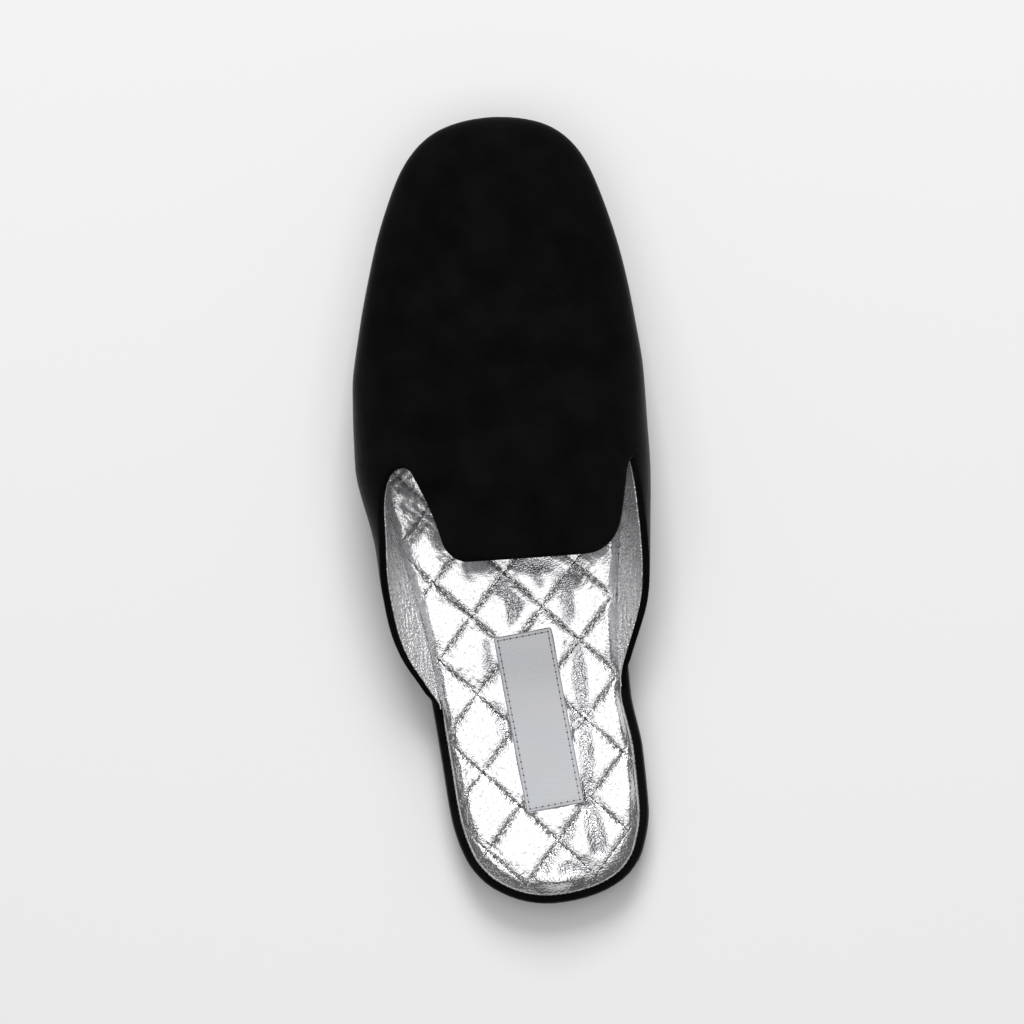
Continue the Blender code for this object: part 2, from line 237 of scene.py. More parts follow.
@dataclass
class Last:
    """The form that the slipper is made on: sole outline, sole heights and sections of the upper."""

    heel_y: float = -135.0
    toe_y: float = 132.0
    outsole_thickness: float = 4.0
    joint: float = 0.3
    pad_thickness: float = 3.2
    feather_inset: float = 1.0
    widest_at: float = 0.42
    toe_fan_y: float = 92.0
    toe_pole_y: float = 110.0
    crown_reach: float = 18.0
    lean_from_y: float = 60.0
    lean_over: float = 50.0
    tangent_step: float = 0.004
    crown_step: float = 0.5
    least_slope: float = 0.1

    def __post_init__(self) -> None:
        """Prepare the curves through the tables."""
        turns = self.turn_at(np.array([row[0] for row in SOLE_OUTLINE]))
        self.edges = {
            Side.LATERAL: SmoothCurve(turns, [row[1] for row in SOLE_OUTLINE]),
            Side.MEDIAL: SmoothCurve(turns, [row[2] for row in SOLE_OUTLINE]),
        }
        self.lift, self.platform = curves(SOLE_PROFILE)
        lateral, medial, self.widest_z, self.ridge_x, self.ridge_z = curves(UPPER_SECTIONS)
        self.bulge = {Side.LATERAL: lateral, Side.MEDIAL: medial}

    def turn_at(self, y: np.ndarray | float) -> np.ndarray:
        """Angle round the sole for a length y: 0 at the heel tip, pi at the toe tip."""
        middle, half = (self.heel_y + self.toe_y) / 2, (self.toe_y - self.heel_y) / 2
        return np.arccos(np.clip((middle - np.asarray(y, float)) / half, -1.0, 1.0))

    def length_at(self, turn: np.ndarray | float) -> np.ndarray:
        """Length y for an angle round the sole."""
        return (self.heel_y + self.toe_y) / 2 - (self.toe_y - self.heel_y) / 2 * np.cos(turn)

    def outline(
        self, side: Side, turn: np.ndarray, inset: np.ndarray | float
    ) -> tuple[np.ndarray, np.ndarray]:
        """Plan points of the sole outline, moved inwards.

        Args:
            side: Side of the sole.
            turn: Angles round the sole.
            inset: Distance inwards at each angle.

        Returns:
            The points and their outward directions.
        """

        def plain(angle: np.ndarray) -> np.ndarray:
            """Points on the outline itself."""
            return np.stack((self.edges[side](angle), self.length_at(angle)), axis=-1)

        step = self.tangent_step
        turn = np.clip(turn, 0.0, math.pi)
        tangent = plain(np.minimum(turn + step, math.pi)) - plain(np.maximum(turn - step, 0.0))
        at_tip = (turn < step) | (turn > math.pi - step)
        tangent[..., 1] = np.where(at_tip, 0.0, tangent[..., 1])
        outward = np.stack((tangent[..., 1], -tangent[..., 0]), axis=-1) * side.value
        outward /= np.linalg.norm(outward, axis=-1, keepdims=True)
        return plain(turn) - np.asarray(inset, float)[..., None] * outward, outward

    def outsole_top(self, y: np.ndarray) -> np.ndarray:
        """Height of the top of the outsole."""
        return self.lift(y) + self.outsole_thickness

    def platform_base(self, y: np.ndarray) -> np.ndarray:
        """Height of the underside of the platform."""
        return self.outsole_top(y) + self.joint

    def platform_top(self, y: np.ndarray) -> np.ndarray:
        """Height of the top of the platform."""
        return self.platform_base(y) + self.platform(y)

    def pad_base(self, y: np.ndarray) -> np.ndarray:
        """Height of the underside of the footbed."""
        return self.platform_top(y) + self.joint

    def pad_top(self, y: np.ndarray) -> np.ndarray:
        """Height of the stitch lines of the footbed."""
        return self.pad_base(y) + self.pad_thickness

    def section(self, side: Side, turn: np.ndarray) -> Section:
        """Half cross sections of the upper.

        Args:
            side: Side of the upper.
            turn: Angles round the sole.

        Returns:
            Plan points and heights of the sections.
        """
        turn = np.atleast_1d(turn)
        feather, outward = self.outline(side, turn, np.full(len(turn), self.feather_inset))
        y = self.length_at(turn)
        lean = np.clip((y - self.lean_from_y) / self.lean_over, 0.0, 1.0)
        direction = outward * np.stack((np.ones(len(turn)), lean), axis=-1)
        direction /= np.linalg.norm(direction, axis=-1, keepdims=True)
        fan = self.turn_at(self.toe_fan_y)
        share = np.clip((turn - fan) / (math.pi - fan), 0.0, 1.0)
        fanned = self.toe_fan_y + (self.toe_pole_y - self.toe_fan_y) * share * (2 - share)
        ridge_y = np.where(y > self.toe_fan_y, fanned, y)
        return Section(
            feather=feather,
            widest=feather + direction * self.bulge[side](y)[:, None],
            ridge=np.stack((self.ridge_x(ridge_y), ridge_y), axis=-1),
            low=self.pad_base(y),
            middle=self.widest_z(y),
            high=self.ridge_z(ridge_y),
        )

    def upper_points(self, side: Side, turn: np.ndarray, share: np.ndarray) -> np.ndarray:
        """Points on the outside of the upper.

        Args:
            side: Side of the upper.
            turn: Angles round the sole, one for each row.
            share: Rows by columns, 0 at the feather line and 1 on the ridge.

        Returns:
            Rows by columns by three.
        """
        cut = self.section(side, turn)
        rise = np.clip(share / self.widest_at, 0.0, 1.0)[..., None]
        angle = np.clip((share - self.widest_at) / (1 - self.widest_at), 0.0, 1.0)[..., None] * math.pi / 2
        feather, widest, ridge = (plan[:, None, :] for plan in (cut.feather, cut.widest, cut.ridge))
        low, middle, high = (z[:, None, None] for z in (cut.low, cut.middle, cut.high))
        wall = feather + (widest - feather) * np.sin(rise * math.pi / 2)
        arch = ridge + (widest - ridge) * np.cos(angle)
        below = (share <= self.widest_at)[..., None]
        plan = np.where(below, wall, arch)
        height = np.where(below, low + (middle - low) * rise, middle + (high - middle) * np.sin(angle))
        step, along = self.crown_step, cut.ridge[:, 1]
        fall = (self.ridge_z(along + step) - self.ridge_z(along - step)) / (2 * step)
        near = np.clip(1 - np.linalg.norm(plan - ridge, axis=-1) / self.crown_reach, 0.0, 1.0) ** 2
        crown = fall[:, None] * (plan - ridge)[..., 1] * near
        return np.concatenate((plan, height + crown[..., None]), axis=-1)

    def share_at_height(self, side: Side, turn: np.ndarray, z: np.ndarray) -> np.ndarray:
        """Shares of half sections where they reach a height."""
        cut = self.section(side, turn)
        wall = self.widest_at * (z - cut.low) / (cut.middle - cut.low)
        over = np.clip((z - cut.middle) / (cut.high - cut.middle), 0.0, 1.0)
        arch = self.widest_at + (1 - self.widest_at) * np.arcsin(over) / (math.pi / 2)
        return np.where(z <= cut.middle, wall, arch)

    def share_at_place(self, side: Side, turn: np.ndarray, x: np.ndarray) -> np.ndarray:
        """Shares of half sections, above their widest point, where they are at x across the foot."""
        cut = self.section(side, turn)
        width = cut.widest[:, 0] - cut.ridge[:, 0]
        across = np.clip((x - cut.ridge[:, 0]) / np.where(np.abs(width) < 1e-6, 1e-6, width), 0.0, 1.0)
        return self.widest_at + (1 - self.widest_at) * np.arccos(across) / (math.pi / 2)

    def rows(self, spacing: float, tip_step: float) -> np.ndarray:
        """Angles of the rows of a sole-shaped piece, close together at both tips.

        Args:
            spacing: Distance between rows along the foot.
            tip_step: Largest step of the angle.

        Returns:
            Rising angles from heel tip to toe tip.
        """
        turns = [0.0]
        half = (self.toe_y - self.heel_y) / 2
        while turns[-1] < math.pi - tip_step:
            slope = half * math.sin(turns[-1] + tip_step / 2)
            turns.append(turns[-1] + min(spacing / max(slope, self.least_slope), tip_step))
        turns[-1] = math.pi
        return np.array(turns)


def lay_grid(bm: Mesh, points: np.ndarray) -> list[Vert]:
    """Lay a grid of quads through points.

    Args:
        bm: Mesh that takes the grid.
        points: Places in millimetres, rows by columns by three.

    Returns:
        The new vertices.
    """
    rows, columns = points.shape[0] - 1, points.shape[1] - 1
    grid = bmesh.ops.create_grid(bm, x_segments=columns, y_segments=rows, size=1.0)
    for vert in grid["verts"]:
        column = round((vert.co.x + 1) / 2 * columns)
        row = round((vert.co.y + 1) / 2 * rows)
        vert.co = Vector(points[row, column]) * MM
    return grid["verts"]


def weld(bm: Mesh) -> None:
    """Join grids where they meet and turn all faces outwards."""
    bmesh.ops.remove_doubles(bm, verts=bm.verts, dist=WELD_GAP)
    bmesh.ops.dissolve_degenerate(bm, edges=bm.edges, dist=SLIVER)
    bmesh.ops.recalc_face_normals(bm, faces=bm.faces)


def rim_directions(rim: Sequence[Edge]) -> dict[Vert, Vector]:
    """Directions that lead out of a sheet at its open edge.

    Args:
        rim: Edges of the sheet that have one face.

    Returns:
        A direction of length 1 in the sheet for each vertex of the rim.
    """
    outward = {vert: Vector() for edge in rim for vert in edge.verts}
    for edge in rim:
        face, (first, second) = edge.link_faces[0], edge.verts
        away = (second.co - first.co).cross(face.normal).normalized()
        if away.dot(face.calc_center_median() - first.co) > 0:
            away.negate()
        outward[first] += away
        outward[second] += away
    for away in outward.values():
        away.normalize()
    return outward


def grow_rim(
    bm: Mesh, rim: list[Edge], roots: dict[Vert, Vert], place: Callable[[Vert], Vector]
) -> tuple[list[Edge], dict[Vert, Vert]]:
    """Extrude an open edge by one step.

    Args:
        bm: Mesh that is open there.
        rim: Its open edges.
        roots: For each vertex of the rim, the vertex of the sheet that it grew from.
        place: Gives the new place for a vertex of the sheet.

    Returns:
        The new open edges, and the roots of their vertices.
    """
    grown = bmesh.ops.extrude_edge_only(bm, edges=rim)["geom"]
    fresh = {}
    for vert in (item for item in grown if isinstance(item, Vert)):
        stem = next(edge.other_vert(vert) for edge in vert.link_edges if edge.other_vert(vert) in roots)
        fresh[vert] = roots[stem]
        vert.co = place(roots[stem])
    return [item for item in grown if isinstance(item, Edge)], fresh


@dataclass(frozen=True)
class StitchLines:
    """Straight parallel stitch lines: a point on one, their direction, and their spacing in millimetres."""

    point: tuple[float, float]
    along: tuple[float, float]
    spacing: float

    @property
    def across(self) -> tuple[float, float]:
        """Direction from one line to the next."""
        return self.along[1], -self.along[0]

    def count(self, points: np.ndarray) -> np.ndarray:
        """Places of plan points counted in lines; a whole number on a line."""
        return (points - np.array(self.point)) @ np.array(self.across) / self.spacing

    def travel(self, points: np.ndarray) -> np.ndarray:
        """Distances of plan points along the lines."""
        return (points - np.array(self.point)) @ np.array(self.along)

    def place(self, line: float, travel: np.ndarray) -> np.ndarray:
        """Plan points on a line, at distances along it."""
        start = np.array(self.point) + np.array(self.across) * self.spacing * line
        return start + np.outer(travel, self.along)


@dataclass(frozen=True)
class QuiltLattice:
    """Two sets of stitch lines that cross in diamonds: a crossing, and the steps to the next ones."""

    origin: tuple[float, float] = (-14.3, -88.3)
    first_step: tuple[float, float] = (12.1, -12.5)
    second_step: tuple[float, float] = (12.1, 14.3)

    def sets(self) -> tuple[StitchLines, StitchLines]:
        """Both sets of lines.

        Returns:
            The lines along the first step and those along the second.
        """
        first, second = np.array(self.first_step), np.array(self.second_step)
        area = abs(first[0] * second[1] - first[1] * second[0])
        lengths = [float(np.linalg.norm(step)) for step in (first, second)]
        lines = [
            StitchLines(self.origin, tuple(step / length), area / length)
            for step, length in zip((first, second), lengths)
        ]
        return lines[0], lines[1]


class MaterialBench:
    """Lays out the nodes of one material."""

    def __init__(self, name: str) -> None:
        """Start a material with its main shader."""
        self.material = bpy.data.materials.new(name)
        self.material.use_nodes = True
        self.tree = self.material.node_tree
        self.shader = self.tree.nodes["Principled BSDF"]
        self.place = self.add("ShaderNodeTexCoord").outputs["Object"]

    def add(
        self, kind: str, inputs: dict[str | int, object] | None = None, **settings: object
    ) -> bpy.types.Node:
        """Add one node.

        Args:
            kind: Type of the node.
            inputs: Values or sockets for its inputs.
            settings: Further settings of the node.

        Returns:
            The node.
        """
        node = self.tree.nodes.new(kind)
        for key, value in settings.items():
            setattr(node, key, value)
        self.feed(node, inputs or {})
        return node

    def feed(self, node: bpy.types.Node, inputs: dict[str | int, object]) -> None:
        """Link sockets to a node's inputs, or set their values."""
        for key, value in inputs.items():
            if isinstance(value, Socket):
                self.tree.links.new(value, node.inputs[key])
            else:
                node.inputs[key].default_value = value

    def noise(self, scale: float, detail: float = 2.0, place: Socket | None = None) -> Socket:
        """Cloudy noise with a number of lumps to the metre."""
        inputs = {"Vector": place or self.place, "Scale": scale, "Detail": detail}
        return self.add("ShaderNodeTexNoise", inputs).outputs["Fac"]

    def pebbles(self, scale: float, place: Socket | None = None, **settings: object) -> Socket:
        """Distance to the middles of pebbles, with a number of pebbles to the metre."""
        inputs = {"Vector": place or self.place, "Scale": scale}
        return self.add("ShaderNodeTexVoronoi", inputs, **settings).outputs["Distance"]

    def layer(self, name: str) -> Socket:
        """Float attribute of the piece."""
        return self.add("ShaderNodeAttribute", attribute_name=name).outputs["Fac"]

    def ramp(self, value: Socket, low: float, high: float, start: float, end: float) -> Socket:
        """Spread a value between low and high over the range from start to end."""
        inputs = {"Value": value, "From Min": low, "From Max": high, "To Min": start, "To Max": end}
        return self.add("ShaderNodeMapRange", inputs).outputs["Result"]

    def blend(self, share: Socket, first: Sequence[float], second: Sequence[float]) -> Socket:
        """Mix two colours by a share."""
        mix = self.add("ShaderNodeMix", data_type="RGBA")
        self.feed(mix, {0: share, 6: (*first, 1.0), 7: (*second, 1.0)})
        return mix.outputs[2]

    def math(self, operation: str, *values: Socket | float) -> Socket:
        """Result of an operation on one value or two."""
        return self.add("ShaderNodeMath", dict(enumerate(values)), operation=operation).outputs[0]

    def dot(self, direction: Sequence[float], place: Socket | None = None) -> Socket:
        """Distance of a place along a direction."""
        inputs = {0: place or self.place, 1: tuple(direction)}
        return self.add("ShaderNodeVectorMath", inputs, operation="DOT_PRODUCT").outputs["Value"]

    def sum(self, *terms: tuple[Socket, float]) -> Socket:
        """Weighted sum of values."""
        total: Socket | float = 0.0
        for socket, weight in terms:
            node = self.add("ShaderNodeMath", operation="MULTIPLY_ADD")
            self.feed(node, {0: socket, 1: weight, 2: total})
            total = node.outputs[0]
        return total

    def bump(self, height: Socket, depth: float, strength: Socket | float = 1.0) -> None:
        """Raise the surface by a height of so many millimetres."""
        inputs = {"Height": height, "Distance": depth * MM, "Strength": strength}
        node = self.add("ShaderNodeBump", inputs)
        self.tree.links.new(node.outputs["Normal"], self.shader.inputs["Normal"])


@dataclass(frozen=True)
class Finish:
    """Finish of a piece, with the name of its material."""

    name: str

    def material(self) -> bpy.types.Material:
        """Make the material.

        Returns:
            The material.
        """
        bench = MaterialBench(self.name)
        self.dress(bench)
        return bench.material

    def dress(self, bench: MaterialBench) -> None:
        """Lay out the nodes of the finish on a bench."""
        raise NotImplementedError


@dataclass(frozen=True)
class PileFinish(Finish):
    """Short black pile cloth: matt, with a nap that lies in soft patches."""

    dark: Colour
    light: Colour
    sheen: float
    sheen_tint: Colour = (0.74, 0.75, 0.79)
    patch_scale: float = 70.0
    fibre_scale: float = 2600.0
    fibre_depth: float = 0.16
    tuft_size: float = 3.1

    def dress(self, bench: MaterialBench) -> None:
        """Lay out the nodes of the finish on a bench."""
        patches = bench.noise(self.patch_scale, 5.0)
        fibres = bench.noise(self.fibre_scale, 3.0)
        tufts = bench.noise(self.fibre_scale / self.tuft_size)
        nap = bench.sum((patches, 0.65), (fibres, 0.35))
        bench.feed(bench.shader, {
            "Base Color": bench.blend(bench.ramp(nap, 0.36, 0.66, 0.0, 1.0), self.dark, self.light),
            "Roughness": 0.95,
            "Specular IOR Level": 0.03,
            "Sheen Weight": self.sheen,
            "Sheen Roughness": 0.28,
            "Sheen Tint": (*self.sheen_tint, 1.0),
        })
        bench.bump(bench.sum((fibres, 0.7), (tufts, 0.5), (patches, 0.6)), self.fibre_depth)


@dataclass(frozen=True)
class FoilFinish(Finish):
    """Leather with a silver foil face over a fine pebbled grain."""

    silver: Colour
    crease: Colour
    roughness: tuple[float, float]
    grain_scale: float
    grain_depth: float
    fold_weight: float
    metallic: float = 1.0
    fold_share: float = 0.16
    fine_share: float = 1.6
    drift_scale: float = 600.0
    drift_reach: float = 1.2
    cloud_scale: float = 95.0
    pebble_weight: float = -0.8
    fine_weight: float = 0.7

    def folds(self, bench: MaterialBench) -> tuple[Terms, Socket | float]:
        """Folds beside the grain.

        Args:
            bench: Bench of the material.

        Returns:
            Weighted heights to add to the grain, and the strength of the whole relief.
        """
        return ((bench.noise(self.grain_scale * self.fold_share, 3.0), self.fold_weight),), 1.0

    def shine(self, bench: MaterialBench, share: Socket) -> Socket:
        """Share of bright silver over the crease colour."""
        return share

    def dress(self, bench: MaterialBench) -> None:
        """Lay out the nodes of the finish on a bench."""
        drift = bench.add(
            "ShaderNodeTexNoise", {"Vector": bench.place, "Scale": self.drift_scale, "Detail": 1.0}
        )
        shift = bench.add("ShaderNodeVectorMath", operation="MULTIPLY_ADD")
        bench.feed(shift, {0: drift.outputs["Color"], 1: (self.drift_reach * MM,) * 3, 2: bench.place})
        pebbles = bench.pebbles(self.grain_scale, shift.outputs[0])
        fine = bench.noise(self.grain_scale * self.fine_share)
        clouds = bench.noise(self.cloud_scale, 4.0)
        bright = self.shine(bench, bench.ramp(pebbles, 0.55, 0.95, 1.0, 0.0))
        bench.feed(bench.shader, {
            "Base Color": bench.blend(bright, self.crease, self.silver),
            "Metallic": self.metallic,
            "Roughness": bench.ramp(bench.sum((clouds, 0.6), (fine, 0.4)), 0.35, 0.65, *self.roughness),
        })
        folds, strength = self.folds(bench)
        relief = bench.sum((pebbles, self.pebble_weight), (fine, self.fine_weight), *folds)
        bench.bump(relief, self.grain_depth, strength)


@dataclass(frozen=True)
class RibbedFoilFinish(FoilFinish):
    """Thin foil leather of the lining, with fine ribs that run down and back."""

    rib_scale: float = 900.0
    rib_weight: float = 1.6
    rib_turn: float = math.radians(48.0)
    rib_stretch: float = 0.16

    def folds(self, bench: MaterialBench) -> tuple[Terms, Socket | float]:
        """Ribs beside the grain.

        Args:
            bench: Bench of the material.

        Returns:
            Weighted heights to add to the grain, and the strength of the whole relief.
        """
        turned = bench.add("ShaderNodeMapping", {
            "Vector": bench.place,
            "Rotation": (self.rib_turn, 0.0, 0.0),
            "Scale": (1.0, self.rib_stretch, 1.0),
        }).outputs["Vector"]
        plain, strength = super().folds(bench)
        return ((bench.noise(self.rib_scale, 1.0, turned), self.rib_weight), *plain), strength


@dataclass(frozen=True)
class QuiltedFoilFinish(FoilFinish):
    """Foil leather of the footbed, gathered in small folds along its stitch lines and smooth between them."""

    lattice: QuiltLattice = QuiltLattice()
    gather_pitch: float = 1.35
    gather_reach: float = 2.8
    gather_weight: float = 1.9
    gather_layer: str = "gather"
    # Float attribute of painted shade: it darkens the foil's colour along the pad's rolled edge and in its
    # troughs, where shade falls.
    painted_shade_layer: str = "shade_paint"
    gather_stretch: float = 0.2
    line_shift: float = 7.3
    gathered_patches: float = 48.0
    full_gather: float = 0.75
    speckle_share: float = 1.3
    speckle_weight: float = 2.6
    strength: tuple[float, float] = (0.3, 1.1)

    def shine(self, bench: MaterialBench, share: Socket) -> Socket:
        """Share of bright silver over the crease colour, less where painted shade darkens the foil along its
        rolled edge and in its troughs.
        """
        return bench.math("MULTIPLY", share, bench.ramp(bench.layer(self.painted_shade_layer), 0.0, 1.0, 1.0, 0.0))

    def folds(self, bench: MaterialBench) -> tuple[Terms, Socket | float]:
        """Gathers beside the grain.

        Args:
            bench: Bench of the material.

        Returns:
            Weighted heights to add to the grain, and the strength of the whole relief.
        """
        places = bench.ramp(bench.noise(self.gathered_patches), 0.40, 0.60, 0.15, 1.0)
        close = bench.layer(self.gather_layer)
        speckle = bench.math("MULTIPLY", bench.noise(self.grain_scale * self.speckle_share, 0.0), close)
        terms = [*super().folds(bench)[0], (speckle, self.speckle_weight)]
        for lines in self.lattice.sets():
            across = [value / MM / lines.spacing for value in lines.across]
            start = float(np.dot(lines.point, lines.across)) / lines.spacing
            count = bench.math("SUBTRACT", bench.dot((*across, 0.0)), start)
            reach = bench.math("MULTIPLY", bench.math("PINGPONG", count, 0.5), lines.spacing)
            travel = bench.dot((lines.along[0] / MM, lines.along[1] / MM, 0.0))
            spot = bench.add("ShaderNodeCombineXYZ", {
                0: travel,
                1: bench.math("MULTIPLY", reach, self.gather_stretch),
                2: bench.math("MULTIPLY", bench.math("ROUND", count), self.line_shift),
            }).outputs[0]
            near = bench.ramp(reach, 0.0, self.gather_reach, 1.0, 0.0)
            gathers = bench.math("MULTIPLY", bench.noise(1.0 / self.gather_pitch, place=spot), near)
            terms.append((bench.math("MULTIPLY", gathers, places), self.gather_weight))
            close = bench.math("MAXIMUM", near, close)
        return tuple(terms), bench.ramp(close, 0.0, self.full_gather, *self.strength)


@dataclass(frozen=True)
class PatchFinish(Finish):
    """Smooth grey leather with a satin face and faint clouds of cooler and warmer grey."""

    cool: Colour
    warm: Colour
    roughness: float = 0.4
    metallic: float = 0.75
    cloud_scale: float = 55.0
    pore_scale: float = 2100.0
    fine_scale: float = 900.0
    pore_depth: float = 0.05

    def dress(self, bench: MaterialBench) -> None:
        """Lay out the nodes of the finish on a bench."""
        clouds = bench.noise(self.cloud_scale, 3.0)
        pores = bench.pebbles(self.pore_scale)
        fine = bench.noise(self.fine_scale, 3.0)
        tone = bench.ramp(bench.sum((clouds, 0.8), (fine, 0.2)), 0.35, 0.65, 0.0, 1.0)
        bench.feed(bench.shader, {
            "Base Color": bench.blend(tone, self.cool, self.warm),
            "Metallic": self.metallic,
            "Roughness": self.roughness,
            "Specular IOR Level": 0.35,
        })
        bench.bump(bench.sum((pores, 0.6), (fine, 0.7)), self.pore_depth)


@dataclass(frozen=True)
class ThreadFinish(Finish):
    """Twisted sewing thread."""

    colour: Colour
    shade: Colour
    roughness: float = 0.45
    twist_scale: float = 900.0
    twist_depth: float = 0.06

    def dress(self, bench: MaterialBench) -> None:
        """Lay out the nodes of the finish on a bench."""
        inputs = {"Vector": bench.place, "Scale": self.twist_scale, "Distortion": 2.0}
        twist = bench.add("ShaderNodeTexWave", inputs, bands_direction="DIAGONAL").outputs["Fac"]
        bench.feed(bench.shader, {
            "Base Color": bench.blend(twist, self.shade, self.colour),
            "Roughness": self.roughness,
        })
        bench.bump(twist, self.twist_depth)


@dataclass(frozen=True)
class RubberFinish(Finish):
    """Black sole rubber with a fine pebble."""

    dark: Colour = (0.012, 0.012, 0.013)
    dusty: Colour = (0.028, 0.027, 0.026)
    dust_scale: float = 60.0
    pebble_scale: float = 900.0
    pebble_depth: float = 0.18

    def dress(self, bench: MaterialBench) -> None:
        """Lay out the nodes of the finish on a bench."""
        pebble = bench.pebbles(self.pebble_scale, feature="SMOOTH_F1")
        dust = bench.noise(self.dust_scale, 5.0)
        bench.feed(bench.shader, {
            "Base Color": bench.blend(bench.ramp(dust, 0.4, 0.7, 0.0, 1.0), self.dark, self.dusty),
            "Roughness": bench.ramp(dust, 0.3, 0.7, 0.5, 0.72),
        })
        bench.bump(pebble, self.pebble_depth)


@dataclass(frozen=True)
class FloorFinish(Finish):
    """Pale painted floor."""

    colour: Colour
    cloud_scale: float = 3.0
    cloud_shade: float = 0.985

    def dress(self, bench: MaterialBench) -> None:
        """Lay out the nodes of the finish on a bench."""
        clouds = bench.noise(self.cloud_scale)
        shade = tuple(value * self.cloud_shade for value in self.colour)
        bench.feed(bench.shader, {
            "Base Color": bench.blend(clouds, shade, self.colour),
            "Roughness": 0.9,
            "Specular IOR Level": 0.1,
        })


VELVET = PileFinish("velvet_black", (0.0017, 0.0017, 0.0019), (0.0044, 0.0044, 0.0049), 0.24)
WRAP = PileFinish("wrap_black", (0.0026, 0.0026, 0.0030), (0.0060, 0.0060, 0.0066), 0.3, patch_scale=120.0)
FOIL = QuiltedFoilFinish(
    "foil_leather", (0.91, 0.91, 0.92), (0.52, 0.52, 0.54), (0.14, 0.24),
    grain_scale=1450.0, grain_depth=0.13, fold_weight=1.1,
)
LINING = RibbedFoilFinish(
    "foil_lining", (0.92, 0.915, 0.93), (0.55, 0.55, 0.56), (0.2, 0.3),
    grain_scale=1250.0, grain_depth=0.7, fold_weight=0.5, metallic=0.5,
)
PATCH = PatchFinish("patch_grey", (0.50, 0.518, 0.545), (0.518, 0.518, 0.53))
QUILT_THREAD = ThreadFinish("quilt_thread", (0.06, 0.06, 0.065), (0.025, 0.025, 0.028), 0.8)
PATCH_THREAD = ThreadFinish("patch_thread", (0.56, 0.57, 0.59), (0.42, 0.43, 0.45))
# Painted shade: near-black discs at the needle holes of the label stand for the shade inside the holes.
NEEDLE_HOLE_SHADE = ThreadFinish("needle_hole_shade", (0.12, 0.12, 0.125), (0.07, 0.07, 0.075), 0.8)
EDGE_THREAD = ThreadFinish("edge_thread", (0.46, 0.46, 0.48), (0.22, 0.22, 0.24), 0.4)
RUBBER = RubberFinish("sole_rubber")
FLOOR = FloorFinish("floor_pale", (0.86, 0.86, 0.86))


def add_piece(
    name: str, bm: Mesh, finish: Finish, nodes: Sequence[str] = ()
) -> bpy.types.Object:
    """Turn a mesh into a finished piece that rides on the slipper.

    Args:
        name: Name of the piece.
        bm: Its mesh, which is freed.
        finish: Its finish.
        nodes: Solids that the piece stands for.

    Returns:
        The piece.
    """
    mesh = bpy.data.meshes.new(name)
    bm.to_mesh(mesh)
    bm.free()
    mesh.shade_smooth()
    mesh.materials.append(finish.material())
    piece = bpy.data.objects.new(name, mesh)
    bpy.context.scene.collection.objects.link(piece)
    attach(piece, BODY)
    if nodes:
        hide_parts(*nodes)
    LOG.info("%s: %d vertices, %d faces", name, len(mesh.vertices), len(mesh.polygons))
    return piece


@dataclass
class Thread:
    """Short stitches of one thread, gathered in one mesh."""

    thickness: float
    sides: int = 6
    rings: int = 6
    batch: int = 60
    runs: list[tuple[Vector, Vector]] = field(default_factory=list)

    def sew(self, start: Vector, end: Vector) -> None:
        """Lay one stitch between two needle holes, given in millimetres."""
        self.runs.append((start, end))

    def mesh(self) -> Mesh:
        """Make the stitches.

        Returns:
            The mesh.
        """
        whole = bmesh.new()
        for first in range(0, len(self.runs), self.batch):
            bm = bmesh.new()
            for start, end in self.runs[first:first + self.batch]:
                run = end - start
                turn = run.to_track_quat("Z", "Y").to_matrix().to_4x4()
                size = Matrix.Diagonal((self.thickness / 2, self.thickness / 2, run.length / 2, 1.0))
                place = Matrix.Translation((start + end) / 2 * MM) @ turn @ Matrix.Scale(MM, 4) @ size
                bmesh.ops.create_uvsphere(
                    bm, u_segments=self.sides, v_segments=self.rings, radius=1.0, matrix=place
                )
            part = bpy.data.meshes.new("stitches")
            bm.to_mesh(part)
            bm.free()
            whole.from_mesh(part)
            bpy.data.meshes.remove(part)
        return whole


